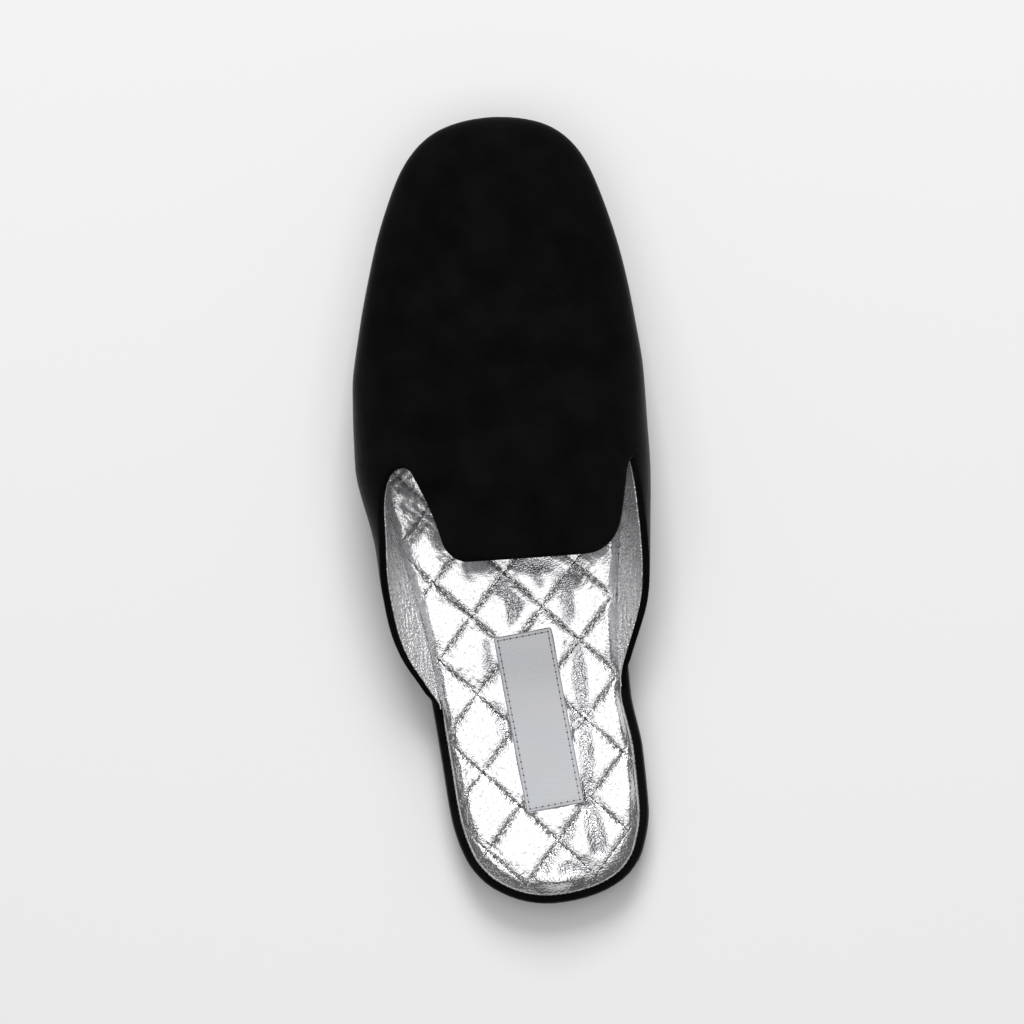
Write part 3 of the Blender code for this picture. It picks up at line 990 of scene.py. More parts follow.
@dataclass
class Sole:
    """Rubber outsole and the wrapped platform on it."""

    last: Last
    row_spacing: float = 2.2
    tip_step: float = 0.045
    columns: int = 8
    # Rolled edges: height as a share of the thickness, and inset from the outline.
    platform_roll: Pairs = ((0.0, 0.9), (0.2, 0.2), (0.5, 0.0), (0.8, 0.35), (0.94, 1.0), (1.0, 1.9))
    outsole_roll: Pairs = ((0.0, 1.7), (0.25, 1.0), (0.8, 0.72), (1.0, 0.8))
    roll_steps: int = 14

    def slab(
        self,
        roll: Pairs,
        base: Callable[[np.ndarray], np.ndarray],
        top: Callable[[np.ndarray], np.ndarray],
    ) -> Mesh:
        """Closed slab in the sole outline with a rolled edge.

        Args:
            roll: Edge profile, low to high.
            base: Height of the underside at a length.
            top: Height of the top at a length.

        Returns:
            The mesh.
        """
        bm = bmesh.new()
        turns = self.last.rows(self.row_spacing, self.tip_step)
        y = self.last.length_at(turns)
        inset = curves(roll)[0]
        heights = (1 - np.cos(np.linspace(0.0, math.pi, self.roll_steps + 1))) / 2
        across = np.linspace(0.0, 1.0, self.columns + 1)[None, :, None]
        for level, height in ((0.0, base), (1.0, top)):
            sides = [self.last.outline(side, turns, np.full(len(turns), inset(level)))[0] for side in Side]
            plan = sides[0][:, None, :] * (1 - across) + sides[1][:, None, :] * across
            level_z = np.broadcast_to(height(y)[:, None, None], plan.shape[:2] + (1,))
            lay_grid(bm, np.concatenate((plan, level_z), axis=-1))
        for side in Side:
            wall = np.empty((len(turns), len(heights), 3))
            for column, share in enumerate(heights):
                wall[:, column, :2] = self.last.outline(side, turns, np.full(len(turns), inset(share)))[0]
                wall[:, column, 2] = base(y) + (top(y) - base(y)) * share
            lay_grid(bm, wall)
        weld(bm)
        return bm

    def build(self) -> None:
        """Build and dress the outsole and the platform."""
        outsole = self.slab(self.outsole_roll, self.last.lift, self.last.outsole_top)
        add_piece("outsole_rubber", outsole, RUBBER, ["outsole"])
        platform = self.slab(self.platform_roll, self.last.platform_base, self.last.platform_top)
        add_piece("platform_wrap", platform, WRAP, ["midsole"])


@dataclass(frozen=True)
class Notch:
    """Rounded cut between a wing and the tongue, and the rear end of that wing, in millimetres."""

    y: float
    x: float
    round_y: float
    corner_round: float
    wing_end_y: float


@dataclass
class Upper:
    """Velvet shell with a rolled edge, and the foil leather lining inside it."""

    last: Last
    wall: float = 2.4
    lining_wall: float = 0.5
    lining_gap: float = 0.03
    lining_margin: float = 1.15
    edge_facets: int = 8
    lining_edge_facets: int = 4
    tongue_end_y: float = -15.6
    toe_split: float = 0.62
    split_run: float = 70.0
    wing_columns: int = 22
    vamp_columns: int = 26
    wing_row: float = 1.5
    vamp_row: float = 1.2
    vamp_rows_end_y: float = 10.0
    tongue_ease: float = 9.0
    ease_rows: int = 13
    toe_rows: int = 62
    least_row: float = 0.22
    # Height over the footbed between which the round edge rises out of the seam, and the lowest wing edge.
    seam_rise: tuple[float, float] = (0.3, 2.5)
    lowest_edge: float = 0.05
    lump_height: float = 0.35
    lump_size: float = 34.0
    lump_seed: float = 7.3
    notches: dict[Side, Notch] = field(default_factory=lambda: {
        Side.LATERAL: Notch(17.4, -33.8, 6.5, 6.0, -66.0),
        Side.MEDIAL: Notch(15.6, 45.4, 5.0, 9.0, -62.0),
    })
    # Top edge of each wing by height, rear to front.
    wing_edges: dict[Side, Pairs] = field(default_factory=lambda: {
        Side.LATERAL: ((-66.0, 14.4), (-62.0, 16.2), (-56.0, 19.0), (-48.0, 23.2), (-36.0, 28.0),
                       (-24.0, 32.0), (-12.0, 36.6), (0.0, 41.0), (14.0, 45.6)),
        Side.MEDIAL: ((-62.0, 14.2), (-57.0, 15.8), (-48.0, 19.8), (-36.0, 25.6),
                      (-24.0, 31.0), (-12.0, 36.2), (0.0, 39.4), (14.0, 41.8)),
    })
    # Sides of the tongue by place across the foot, rear to front.
    tongue_edges: dict[Side, Pairs] = field(default_factory=lambda: {
        Side.LATERAL: ((-15.6, -19.9), (-8.0, -21.9), (0.0, -24.2), (14.0, -29.8)),
        Side.MEDIAL: ((-15.6, 37.6), (-8.0, 39.3), (0.0, 41.2), (14.0, 43.6)),
    })

    def rows(self, margin: float) -> np.ndarray:
        """Lengths of the sections, close at the notches, the tongue end and the toe.

        Args:
            margin: Distance that the sheet stays back from the cut edge.

        Returns:
            Rising lengths.
        """
        end, ease = self.tongue_end_y + margin, 1 - np.cos(np.linspace(0.0, math.pi / 2, self.ease_rows))
        ends = sorted(notch.wing_end_y for notch in self.notches.values())
        fixed = [*ends, end, *(notch.y + margin for notch in self.notches.values())]
        vamp = end + self.tongue_ease
        lengths = [*np.arange(ends[0], end, self.wing_row), *(end + self.tongue_ease * ease)]
        lengths += list(np.arange(vamp, self.vamp_rows_end_y, self.vamp_row))
        for notch in self.notches.values():
            lengths += list(notch.y + margin - notch.round_y * ease)
        start = self.last.turn_at(max(fixed))
        lengths += list(self.last.length_at(np.linspace(start, math.pi, self.toe_rows)))
        kept = [fixed[0]]
        for length in sorted(lengths):
            clear = all(abs(length - other) > self.least_row for other in (*fixed, kept[-1]))
            if clear and length > fixed[0]:
                kept.append(length)
        return np.array(sorted({*kept, *fixed, self.last.toe_y}))

    def edges(self, side: Side, y: np.ndarray, margin: float) -> tuple[np.ndarray, np.ndarray]:
        """Shares of a wing's top edge and of the tongue's side; equal ahead of the notch.

        Args:
            side: Side of the upper.
            y: Lengths of the sections.
            margin: Distance that the sheet stays back from the cut edge.

        Returns:
            Shares for the wing and for the tongue.
        """
        notch, last = self.notches[side], self.last
        front, end, turn = notch.y + margin, self.tongue_end_y + margin, last.turn_at(y)
        apex = last.share_at_place(side, last.turn_at(np.array([front])), np.array([notch.x]))[0]
        apex = apex + (self.toe_split - apex) * np.clip((y - front) / self.split_run, 0.0, 1.0)
        opening = quarter_round(front - y, notch.round_y)
        wing_z = curves(self.wing_edges[side])[0](y) - margin
        wing = last.share_at_height(side, turn, np.maximum(wing_z, last.pad_base(y) + self.lowest_edge))
        corner = notch.corner_round * (1 - quarter_round(y - end, notch.corner_round))
        tongue_x = curves(self.tongue_edges[side])[0](y) - side.value * (corner + margin)
        tongue = last.share_at_place(side, turn, tongue_x)
        return apex + (wing - apex) * opening, apex + (tongue - apex) * opening

    def sheet(self, margin: float) -> Mesh:
        """Outside of the upper as one open sheet.

        Args:
            margin: Distance that the sheet stays back from the cut edge.

        Returns:
            The mesh, with its faces outwards.
        """
        bm = bmesh.new()
        rows, last = self.rows(margin), self.last
        for side in Side:
            wing_y = rows[rows >= self.notches[side].wing_end_y]
            top = self.edges(side, wing_y, margin)[0][:, None]
            share = np.linspace(0.0, 1.0, self.wing_columns + 1)[None, :]
            lay_grid(bm, last.upper_points(side, last.turn_at(wing_y), top * share))
            vamp_y = rows[rows >= self.tongue_end_y + margin]
            edge = self.edges(side, vamp_y, margin)[1][:, None]
            share = np.linspace(0.0, 1.0, self.vamp_columns + 1)[None, :]
            lay_grid(bm, last.upper_points(side, last.turn_at(vamp_y), edge + (1 - edge) * share))
        weld(bm)
        bm.normal_update()
        if max(bm.faces, key=lambda face: face.calc_center_median().z).normal.z < 0:
            bmesh.ops.reverse_faces(bm, faces=bm.faces)
            bm.normal_update()
        places = np.array([vert.co for vert in bm.verts]) / MM
        for vert, lump in zip(bm.verts, noise_field(places, self.lump_size, self.lump_seed)):
            vert.co += vert.normal * float(lump) * self.lump_height * MM
        bm.normal_update()
        return bm

    def shell(self, margin: float, depth: float, wall: float, steps: int) -> Mesh:
        """Closed shell under the outside of the upper, with a round edge at the opening.

        Args:
            margin: Distance that the sheet stays back from the cut edge.
            depth: Distance of the shell's outer face below the outside.
            wall: Thickness of the shell.
            steps: Facets across the round edge.

        Returns:
            The mesh.
        """
        bm = self.sheet(margin)
        normals = {vert: vert.normal.copy() for vert in bm.verts}
        rim = [edge for edge in bm.edges if edge.is_boundary]
        outward = rim_directions(rim)
        for vert, away in outward.items():
            low = float(self.last.pad_base(vert.co.y / MM))
            away *= float(smooth_step(*self.seam_rise, vert.co.z / MM - low))
        bases = {vert: vert.co - normals[vert] * depth * MM for vert in bm.verts}
        for vert, base in bases.items():
            vert.co = base
        inner = bmesh.ops.duplicate(bm, geom=[*bm.verts, *bm.edges, *bm.faces])
        for vert, base in bases.items():
            inner["vert_map"][vert].co = base - normals[vert] * wall * MM
        faces = [item for item in inner["geom"] if isinstance(item, bmesh.types.BMFace)]
        bmesh.ops.reverse_faces(bm, faces=faces)
        roots = {vert: vert for vert in outward}
        for step in range(1, steps + 1):
            angle = math.pi * step / steps

            def place(root: Vert, angle: float = angle) -> Vector:
                """Point on the round edge at an angle."""
                sideways = outward[root] * math.sin(angle)
                inwards = normals[root] * (1 - math.cos(angle))
                return bases[root] + (sideways - inwards) * wall / 2 * MM

            rim, roots = grow_rim(bm, rim, roots, place)
        bmesh.ops.remove_doubles(bm, verts=bm.verts, dist=SHELL_GAP)
        bmesh.ops.recalc_face_normals(bm, faces=bm.faces)
        return bm

    def build(self) -> None:
        """Build and dress the shell and the lining."""
        shell = self.shell(self.wall / 2, 0.0, self.wall, self.edge_facets)
        add_piece("upper_velvet", shell, VELVET, ["upper"])
        depth = self.wall + self.lining_gap
        lining = self.shell(self.lining_margin, depth, self.lining_wall, self.lining_edge_facets)
        add_piece("upper_lining", lining, LINING, ["upper"])


@dataclass
class Label:
    """Place and size of the bare patch on the heel, in millimetres."""

    width: float = 20.0
    length: float = 61.0
    centre: tuple[float, float] = (6.25, -71.6)
    turn: float = math.radians(6.8)
    thickness: float = 0.8
    bed: float = 1.0
    stitch_inset: float = 1.3
    stitch_pitch: float = 2.3
    stitch_thickness: float = 0.42
    hole_width: float = 0.72
    corner_radius: float = 0.6

    def place(self, across: np.ndarray, lengthwise: np.ndarray) -> np.ndarray:
        """Plan points from the patch's own axes."""
        sine, cosine = math.sin(self.turn), math.cos(self.turn)
        x = self.centre[0] + across * cosine - lengthwise * sine
        y = self.centre[1] + across * sine + lengthwise * cosine
        return np.stack((x, y), axis=-1)

    def own_axes(self, points: np.ndarray) -> tuple[np.ndarray, np.ndarray]:
        """Places across and along the patch of plan points."""
        offset = points - np.array(self.centre)
        x, y = offset[..., 0], offset[..., 1]
        sine, cosine = math.sin(self.turn), math.cos(self.turn)
        return x * cosine + y * sine, y * cosine - x * sine

    def outside(self, points: np.ndarray) -> np.ndarray:
        """Distance of plan points past the edge of the patch, below 0 inside it."""
        across, lengthwise = self.own_axes(points)
        return np.maximum(np.abs(across) - self.width / 2, np.abs(lengthwise) - self.length / 2)


@dataclass(frozen=True)
class Trough:
    """Soft trough in the padding: its ends, half widths left and right of its run, and its depth."""

    start: tuple[float, float]
    end: tuple[float, float]
    left: float
    right: float
    depth: float

    def share(self, points: np.ndarray) -> np.ndarray:
        """Share of the trough's depth at plan points."""
        offset, run = points - np.array(self.start), np.array(self.end) - np.array(self.start)
        along = np.clip(offset @ run / (run @ run), 0.0, 1.0)
        gap = np.linalg.norm(offset - along[:, None] * run, axis=1)
        width = np.where(run[0] * offset[:, 1] > run[1] * offset[:, 0], self.left, self.right)
        return np.exp(-((gap / width) ** 2))


@dataclass
class Footbed:
    """Padded footbed in foil leather, quilted in diamonds and sewn down round the heel."""

    last: Last
    label: Label
    lattice: QuiltLattice = QuiltLattice()
    # Distance of the pad's edge inside the sole outline, heel to toe.
    insets: Pairs = ((-135.0, 3.7), (-70.0, 3.7), (-56.0, 2.9), (60.0, 2.9), (90.0, 3.2), (132.0, 3.2))
    # Sewn lip round the heel: share of its reach, and height above the platform.
    lip_profile: Pairs = ((0.25, 0.67), (0.7, 0.55), (0.95, 0.38), (1.0, 0.2), (0.92, 0.0))
    lip_reach: float = 0.5
    lip_height: float = 0.55
    lip_front_y: tuple[float, float] = (-72.0, -62.0)
    row_spacing: float = 0.6
    tip_step: float = 0.03
    columns: int = 124
    edge_crowding: float = 0.16
    # Rolled edge, heel to toe: y, its width on the outer and on the inner side, and its depth.
    edge_rolls: tuple[tuple[float, float, float, float], ...] = (
        (-135.0, 5.6, 7.5, 2.4), (-122.0, 4.4, 7.5, 2.1), (-108.0, 3.6, 3.4, 1.4), (-90.0, 3.2, 2.4, 1.1),
        (-68.0, 2.8, 2.3, 1.0), (-54.0, 3.2, 3.2, 1.2), (132.0, 3.4, 3.4, 1.4),
    )
    edge_line_spacing: float = 2.0
    edge_power: float = 2.0
    edge_waver: float = 0.15
    edge_gather: float = 0.55
    # Painted shade on the foil: its colour darkens towards the rolled edge and in the troughs, standing in
    # for the shade on those slopes.
    edge_shade_paint: float = 0.55
    edge_least_gather: float = 0.6
    # Where across the foot the roll changes from its outer to its inner width.
    roll_change_x: tuple[float, float] = (6.0, 24.0)
    # Distances from the edge, in widths of the roll, between which each of these rises or fades.
    quilt_rise: tuple[float, float] = (0.15, 1.05)
    gather_rise: tuple[float, float] = (0.1, 0.7)
    gather_fade: tuple[float, float] = (1.8, 1.0)
    shade_paint_fade: tuple[float, float] = (0.9, 0.1)
    trough_power: float = 0.35
    trough_break: float = 0.25
    trough_break_size: float = 3.1
    trough_break_seed: float = 6.7
    trough_gather: float = 0.86
    trough_shade_paint: float = 0.6
    puff_height: float = 1.45
    puff_power: float = 0.6
    # How far diamonds differ in filling, the step in the noise from one to the next, and its seed.
    puff_vary: float = 0.28
    puff_step: float = 3.7
    puff_seed: float = 2.1
    # Uneven filling within the diamonds: size, weight and seed of its lumps.
    puff_lumps: tuple[tuple[float, float, float], ...] = (
        (11.0, 0.24, 5.6), (5.0, 0.16, 9.2), (2.6, 0.06, 1.8),
    )
    label_press: float = 0.8
    label_sink: float = 0.05
    label_print: float = 0.04
    stitch_pitch: float = 2.7
    stitch_share: float = 0.86
    stitch_thickness: float = 0.42
    stitch_lift: float = 0.08
    groove_depth: float = 0.2
    groove_width: float = 0.25
    ruffle_depth: float = 0.2
    ruffle_size: float = 1.9
    ruffle_seed: float = 4.4
    pucker_depth: float = 0.15
    pucker_reach: float = 2.4
    pucker_start: float = 0.5
    # Sway of the puckers: lump size, seed, step from line to line, and its part in their phase and depth.
    sway_size: float = 6.0
    sway_seed: float = 3.3
    sway_step: float = 40.0
    sway_phase: float = 0.55
    sway_depth: float = 0.6
    line_phase: float = 0.37
    stitch_edge_gap: float = 1.6
    stitch_label_gap: float = 0.7
    whip_pitch: float = 1.7
    whip_length: float = 1.0
    whip_thickness: float = 0.3
    whip_slant: float = 0.22
    whip_inset: float = 0.25
    whip_rise: float = 0.12
    whip_fall: float = 0.28
    whip_samples: int = 1200
    batch: int = 2000
    # Beside the label, low on the heel, on the label's other side, under the tongue end, and above the label.
    troughs: tuple[Trough, ...] = (
        Trough((20.9, -47.0), (21.5, -71.0), 2.5, 2.8, 1.2),
        Trough((21.5, -73.0), (21.8, -98.0), 2.5, 2.8, 1.2),
        Trough((21.6, -102.0), (24.0, -117.0), 3.2, 3.4, 1.7),
        Trough((12.0, -123.0), (19.5, -123.4), 3.0, 3.0, 1.4),
        Trough((4.5, -123.0), (14.5, -109.0), 2.0, 2.0, 0.5),
        Trough((-9.6, -44.0), (-8.6, -57.0), 1.6, 2.2, 0.45),
        Trough((-7.5, -66.0), (-5.2, -76.0), 1.6, 2.2, 0.45),
        Trough((18.2, -23.5), (19.2, -37.0), 2.2, 3.5, 0.8),
        Trough((2.5, -17.6), (12.5, -18.6), 2.3, 2.3, 0.6),
        Trough((8.2, -19.0), (9.6, -24.6), 2.0, 2.0, 0.6),
        Trough((-4.2, -22.5), (1.0, -30.4), 1.9, 1.9, 0.55),
        Trough((1.0, -30.4), (-0.5, -37.4), 1.9, 2.2, 0.5),
        Trough((-2.4, -28.6), (-1.4, -37.4), 0.5, 0.5, 0.2),
        Trough((0.5, -29.8), (-0.4, -37.0), 0.5, 0.5, 0.22),
        Trough((2.4, -30.0), (0.9, -36.4), 0.5, 0.5, 0.22),
        Trough((4.1, -30.6), (2.0, -35.6), 0.5, 0.5, 0.2),
    )

    def __post_init__(self) -> None:
        """Prepare the edge line of the pad."""
        self.inset = curves(self.insets)[0]
        self.roll_lateral, self.roll_medial, self.roll_depth = curves(self.edge_rolls)
        turns = self.last.rows(self.edge_line_spacing, self.tip_step)
        inset = self.inset(self.last.length_at(turns))
        sides = [self.last.outline(side, turns, inset)[0] for side in Side]
        self.edge_line = np.concatenate((sides[0], sides[1][::-1]))

    def to_edge(self, points: np.ndarray) -> np.ndarray:
        """Distance of plan points to the edge of the pad.

        Args:
            points: Plan points, any number by two.

        Returns:
            One distance for each point.
        """
        start, run = self.edge_line, np.roll(self.edge_line, -1, axis=0) - self.edge_line
        square = np.maximum((run**2).sum(axis=1), 1e-12)
        found = np.empty(len(points))
        for first in range(0, len(points), self.batch):
            block = slice(first, first + self.batch)
            offset = points[block, None, :] - start[None]
            share = np.clip((offset * run).sum(axis=2) / square, 0.0, 1.0)
            gaps = offset - share[..., None] * run
            found[block] = np.sqrt((gaps**2).sum(axis=2).min(axis=1))
        return found

    def arch(self, points: np.ndarray) -> np.ndarray:
        """Rise of the diamonds at plan points, 0 on the stitch lines and 1 in the middles."""
        rises = [np.sin(math.pi * lines.count(points)) for lines in self.lattice.sets()]
        return np.abs(rises[0] * rises[1])

    def relief(self, points: np.ndarray) -> np.ndarray:
        """Height of the quilting over its stitch lines, with puckers along them.

        Args:
            points: Plan points, any number by two.

        Returns:
            One height for each point, in millimetres.
        """
        sets = self.lattice.sets()
        diamond = np.stack([np.floor(lines.count(points)) for lines in sets], axis=-1) + 0.5
        fullness = 1.0 + self.puff_vary * noise_field(diamond * self.puff_step, 1.0, self.puff_seed)
        for size, weight, seed in self.puff_lumps:
            fullness += weight * noise_field(points, size, seed)
        height = self.puff_height * self.arch(points) ** self.puff_power * fullness
        ruffle = noise_field(points, self.ruffle_size, self.ruffle_seed)
        for lines in sets:
            count, travel = lines.count(points), lines.travel(points)
            line = np.round(count)
            reach = np.abs(count - line) * lines.spacing
            places = np.stack((travel, line * self.sway_step), axis=-1)
            sway = noise_field(places, self.sway_size, self.sway_seed)
            phase = travel / self.stitch_pitch + self.sway_phase * sway + line * self.line_phase
            wave = np.sin(2 * math.pi * phase)
            strength = self.pucker_depth * (1.0 + self.sway_depth * sway)
            beside = reach / (reach + self.pucker_start) * np.exp(-reach / self.pucker_reach)
            height += (strength * wave + self.ruffle_depth * ruffle) * beside
            height -= self.groove_depth * np.exp(-reach / self.groove_width)
        broken = noise_field(points, self.trough_break_size, self.trough_break_seed)
        pressed = self.arch(points) ** self.trough_power * (1.0 + self.trough_break * broken)
        return height - pressed * sum(trough.depth * trough.share(points) for trough in self.troughs)

    def gathers(self, points: np.ndarray, distance: np.ndarray) -> tuple[np.ndarray, np.ndarray]:
        """How closely the leather is creased, apart from the stitch lines, and how much painted shade darkens
        its foil.

        Args:
            points: Plan points, any number by two.
            distance: Their distance to the edge of the pad.

        Returns:
            Two shares for each point, 0 to 1.
        """
        pressed = np.clip(sum(trough.share(points) for trough in self.troughs), 0.0, 1.0)
        away = distance / self.roll_width(points)
        least = self.edge_least_gather
        rolled = self.edge_gather * smooth_step(*self.gather_fade, away)
        rolled *= least + (1 - least) * smooth_step(*self.gather_rise, away)
        # Painted shade: darker foil colour in the troughs and towards the rolled edge.
        shade_paint = np.maximum(self.trough_shade_paint * pressed, self.edge_shade_paint * smooth_step(*self.shade_paint_fade, away))
        return np.maximum(self.trough_gather * pressed, rolled), shade_paint

    def roll_width(self, points: np.ndarray) -> np.ndarray:
        """Width of the rolled edge at plan points, wider where a stitch line runs out over it."""
        lateral, medial = self.roll_lateral(points[:, 1]), self.roll_medial(points[:, 1])
        width = lateral + (medial - lateral) * smooth_step(*self.roll_change_x, points[:, 0])
        return width * (1.0 + self.edge_waver * (1.0 - 2.0 * self.arch(points) ** 2))

    def top(self, points: np.ndarray, distance: np.ndarray | None = None) -> np.ndarray:
        """Height of the face of the footbed.

        Args:
            points: Plan points, any number by two.
            distance: Their distance to the edge of the pad, where it is known.

        Returns:
            One height for each point, in millimetres.
        """
        distance = self.to_edge(points) if distance is None else distance
        away = distance / self.roll_width(points)
        near = 1 - np.minimum(away, 1.0)
        relief = self.relief(points) * smooth_step(*self.quilt_rise, away)
        pressed = smooth_step(self.label_press, 0.0, self.label.outside(points))
        relief = relief * (1 - pressed) + self.label_bed(points) * pressed
        roll = self.roll_depth(points[:, 1]) * near**self.edge_power
        return self.last.pad_top(points[:, 1]) + relief - roll

    def label_bed(self, points: np.ndarray) -> np.ndarray:
        """Height of the pressed quilting under the label patch, over the stitch lines."""
        return self.label.bed - self.label_sink + self.label_print * (self.arch(points) - 0.5)

    def cut_lines(self, bm: Mesh) -> None:
        """Cut a flat sheet along the stitch lines of the quilting."""
        for lines in self.lattice.sets():
            counts = lines.count(self.edge_line)
            for line in range(math.ceil(counts.min()), math.floor(counts.max()) + 1):
                bmesh.ops.bisect_plane(
                    bm,
                    geom=[*bm.verts, *bm.edges, *bm.faces],
                    dist=CUT_GAP,
                    plane_co=Vector((*lines.place(line, np.zeros(1))[0], 0.0)) * MM,
                    plane_no=Vector((*lines.across, 0.0)),
                )

    def pad(self) -> Mesh:
        """Closed body of the footbed.

        Returns:
            The mesh.
        """
        last, bm = self.last, bmesh.new()
        names = FOIL.gather_layer, FOIL.painted_shade_layer
        for name in names:
            bm.verts.layers.float.new(name)
        turns = last.rows(self.row_spacing, self.tip_step)
        sides = [last.outline(side, turns, self.inset(last.length_at(turns)))[0] for side in Side]
        steps = np.linspace(-1.0, 1.0, self.columns + 1)
        across = ((steps + self.edge_crowding * np.sin(math.pi * steps) + 1) / 2)[None, :, None]
        plan = sides[0][:, None, :] * (1 - across) + sides[1][:, None, :] * across
        lay_grid(bm, np.concatenate((plan, np.zeros((*plan.shape[:2], 1))), axis=-1))
        weld(bm)
        self.cut_lines(bm)
        bm.normal_update()
        rim = [edge for edge in bm.edges if edge.is_boundary]
        outward = rim_directions(rim)
        points = np.array([vert.co.xy for vert in bm.verts]) / MM
        distance = self.to_edge(points)
        layers = [bm.verts.layers.float[name] for name in names]
        heights, gathers = self.top(points, distance), self.gathers(points, distance)
        for vert, height, *shares in zip(bm.verts, heights, *gathers):
            vert.co.z = float(height) * MM
            for layer, share in zip(layers, shares):
                vert[layer] = float(share)
        roots = {vert: vert for vert in outward}
        for share, height in self.lip_profile:

            def place(root: Vert, share: float = share, height: float = height) -> Vector:
                """Point on the lip round the heel, or on the plain edge ahead of it."""
                y = root.co.y / MM
                reach = self.lip_reach * float(smooth_step(self.lip_front_y[1], self.lip_front_y[0], y))
                plan = root.co.xy + outward[root].xy * reach * share * MM
                return Vector((*plan, (float(last.pad_base(y)) + height) * MM))

            rim, roots = grow_rim(bm, rim, roots, place)
        bmesh.ops.triangle_fill(bm, use_beauty=True, edges=rim, normal=(0.0, 0.0, -1.0))
        bmesh.ops.recalc_face_normals(bm, faces=bm.faces)
        return bm

    def quilt_stitches(self) -> Mesh:
        """Thread along the stitch lines of the quilting.

        Returns:
            The mesh.
        """
        thread, half = Thread(self.stitch_thickness), self.stitch_pitch * self.stitch_share / 2
        for lines in self.lattice.sets():
            counts, travels = lines.count(self.edge_line), lines.travel(self.edge_line)
            middles = np.arange(travels.min(), travels.max(), self.stitch_pitch)
            for line in range(math.ceil(counts.min()), math.floor(counts.max()) + 1):
                ends = [lines.place(line, middles + shift) for shift in (-half, half)]
                inside = self.inside_line(ends[0]) & self.inside_line(ends[1])
                if not inside.any():
                    continue
                heights = [self.top(end[inside]) + self.stitch_lift for end in ends]
                for a, b, low, high in zip(ends[0][inside], ends[1][inside], *heights):
                    thread.sew(Vector((*a, low)), Vector((*b, high)))
        return thread.mesh()

    def inside_line(self, points: np.ndarray) -> np.ndarray:
        """Whether plan points are on the sewn face, clear of its edge and of the label patch."""
        turn = self.last.turn_at(points[:, 1])
        left, right = (self.last.edges[side](turn) for side in Side)
        inset = self.inset(points[:, 1])
        within = (points[:, 0] > left + inset) & (points[:, 0] < right - inset)
        within &= (points[:, 1] > self.last.heel_y + inset) & (points[:, 1] < self.last.toe_y - inset)
        within &= self.to_edge(points) > self.stitch_edge_gap
        return within & (self.label.outside(points) > self.stitch_label_gap)

    def heel_stitches(self) -> Mesh:
        """Small slanting stitches over the lip of the footbed round the heel.

        Returns:
            The mesh.
        """
        thread, last = Thread(self.whip_thickness), self.last
        end = float(last.turn_at(self.lip_front_y[0]))
        for side in Side:
            fine = np.linspace(0.0, end, self.whip_samples)
            inset = self.inset(last.length_at(fine)) - self.lip_reach + self.whip_inset
            path, outward = last.outline(side, fine, inset)
            travel = np.concatenate(([0.0], np.cumsum(np.linalg.norm(np.diff(path, axis=0), axis=1))))
            for place in np.arange(self.whip_pitch / 2, travel[-1], self.whip_pitch):
                i = int(np.searchsorted(travel, place))
                point, out = path[i], outward[i]
                ahead = np.array((-out[1], out[0]))
                reach = (out * 0.5 + ahead * self.whip_slant) * self.whip_length
                height = float(last.pad_base(point[1])) + self.lip_height
                start = Vector((*(point - reach), height + self.whip_rise))
                thread.sew(start, Vector((*(point + reach), height - self.whip_fall)))
        return thread.mesh()

    def build(self) -> None:
        """Build and dress the pad and its stitches."""
        pad = add_piece("footbed_pad", self.pad(), FOIL, ["insole"])
        add_piece("footbed_quilt_stitches", self.quilt_stitches(), QUILT_THREAD)
        add_piece("footbed_heel_stitches", self.heel_stitches(), EDGE_THREAD)


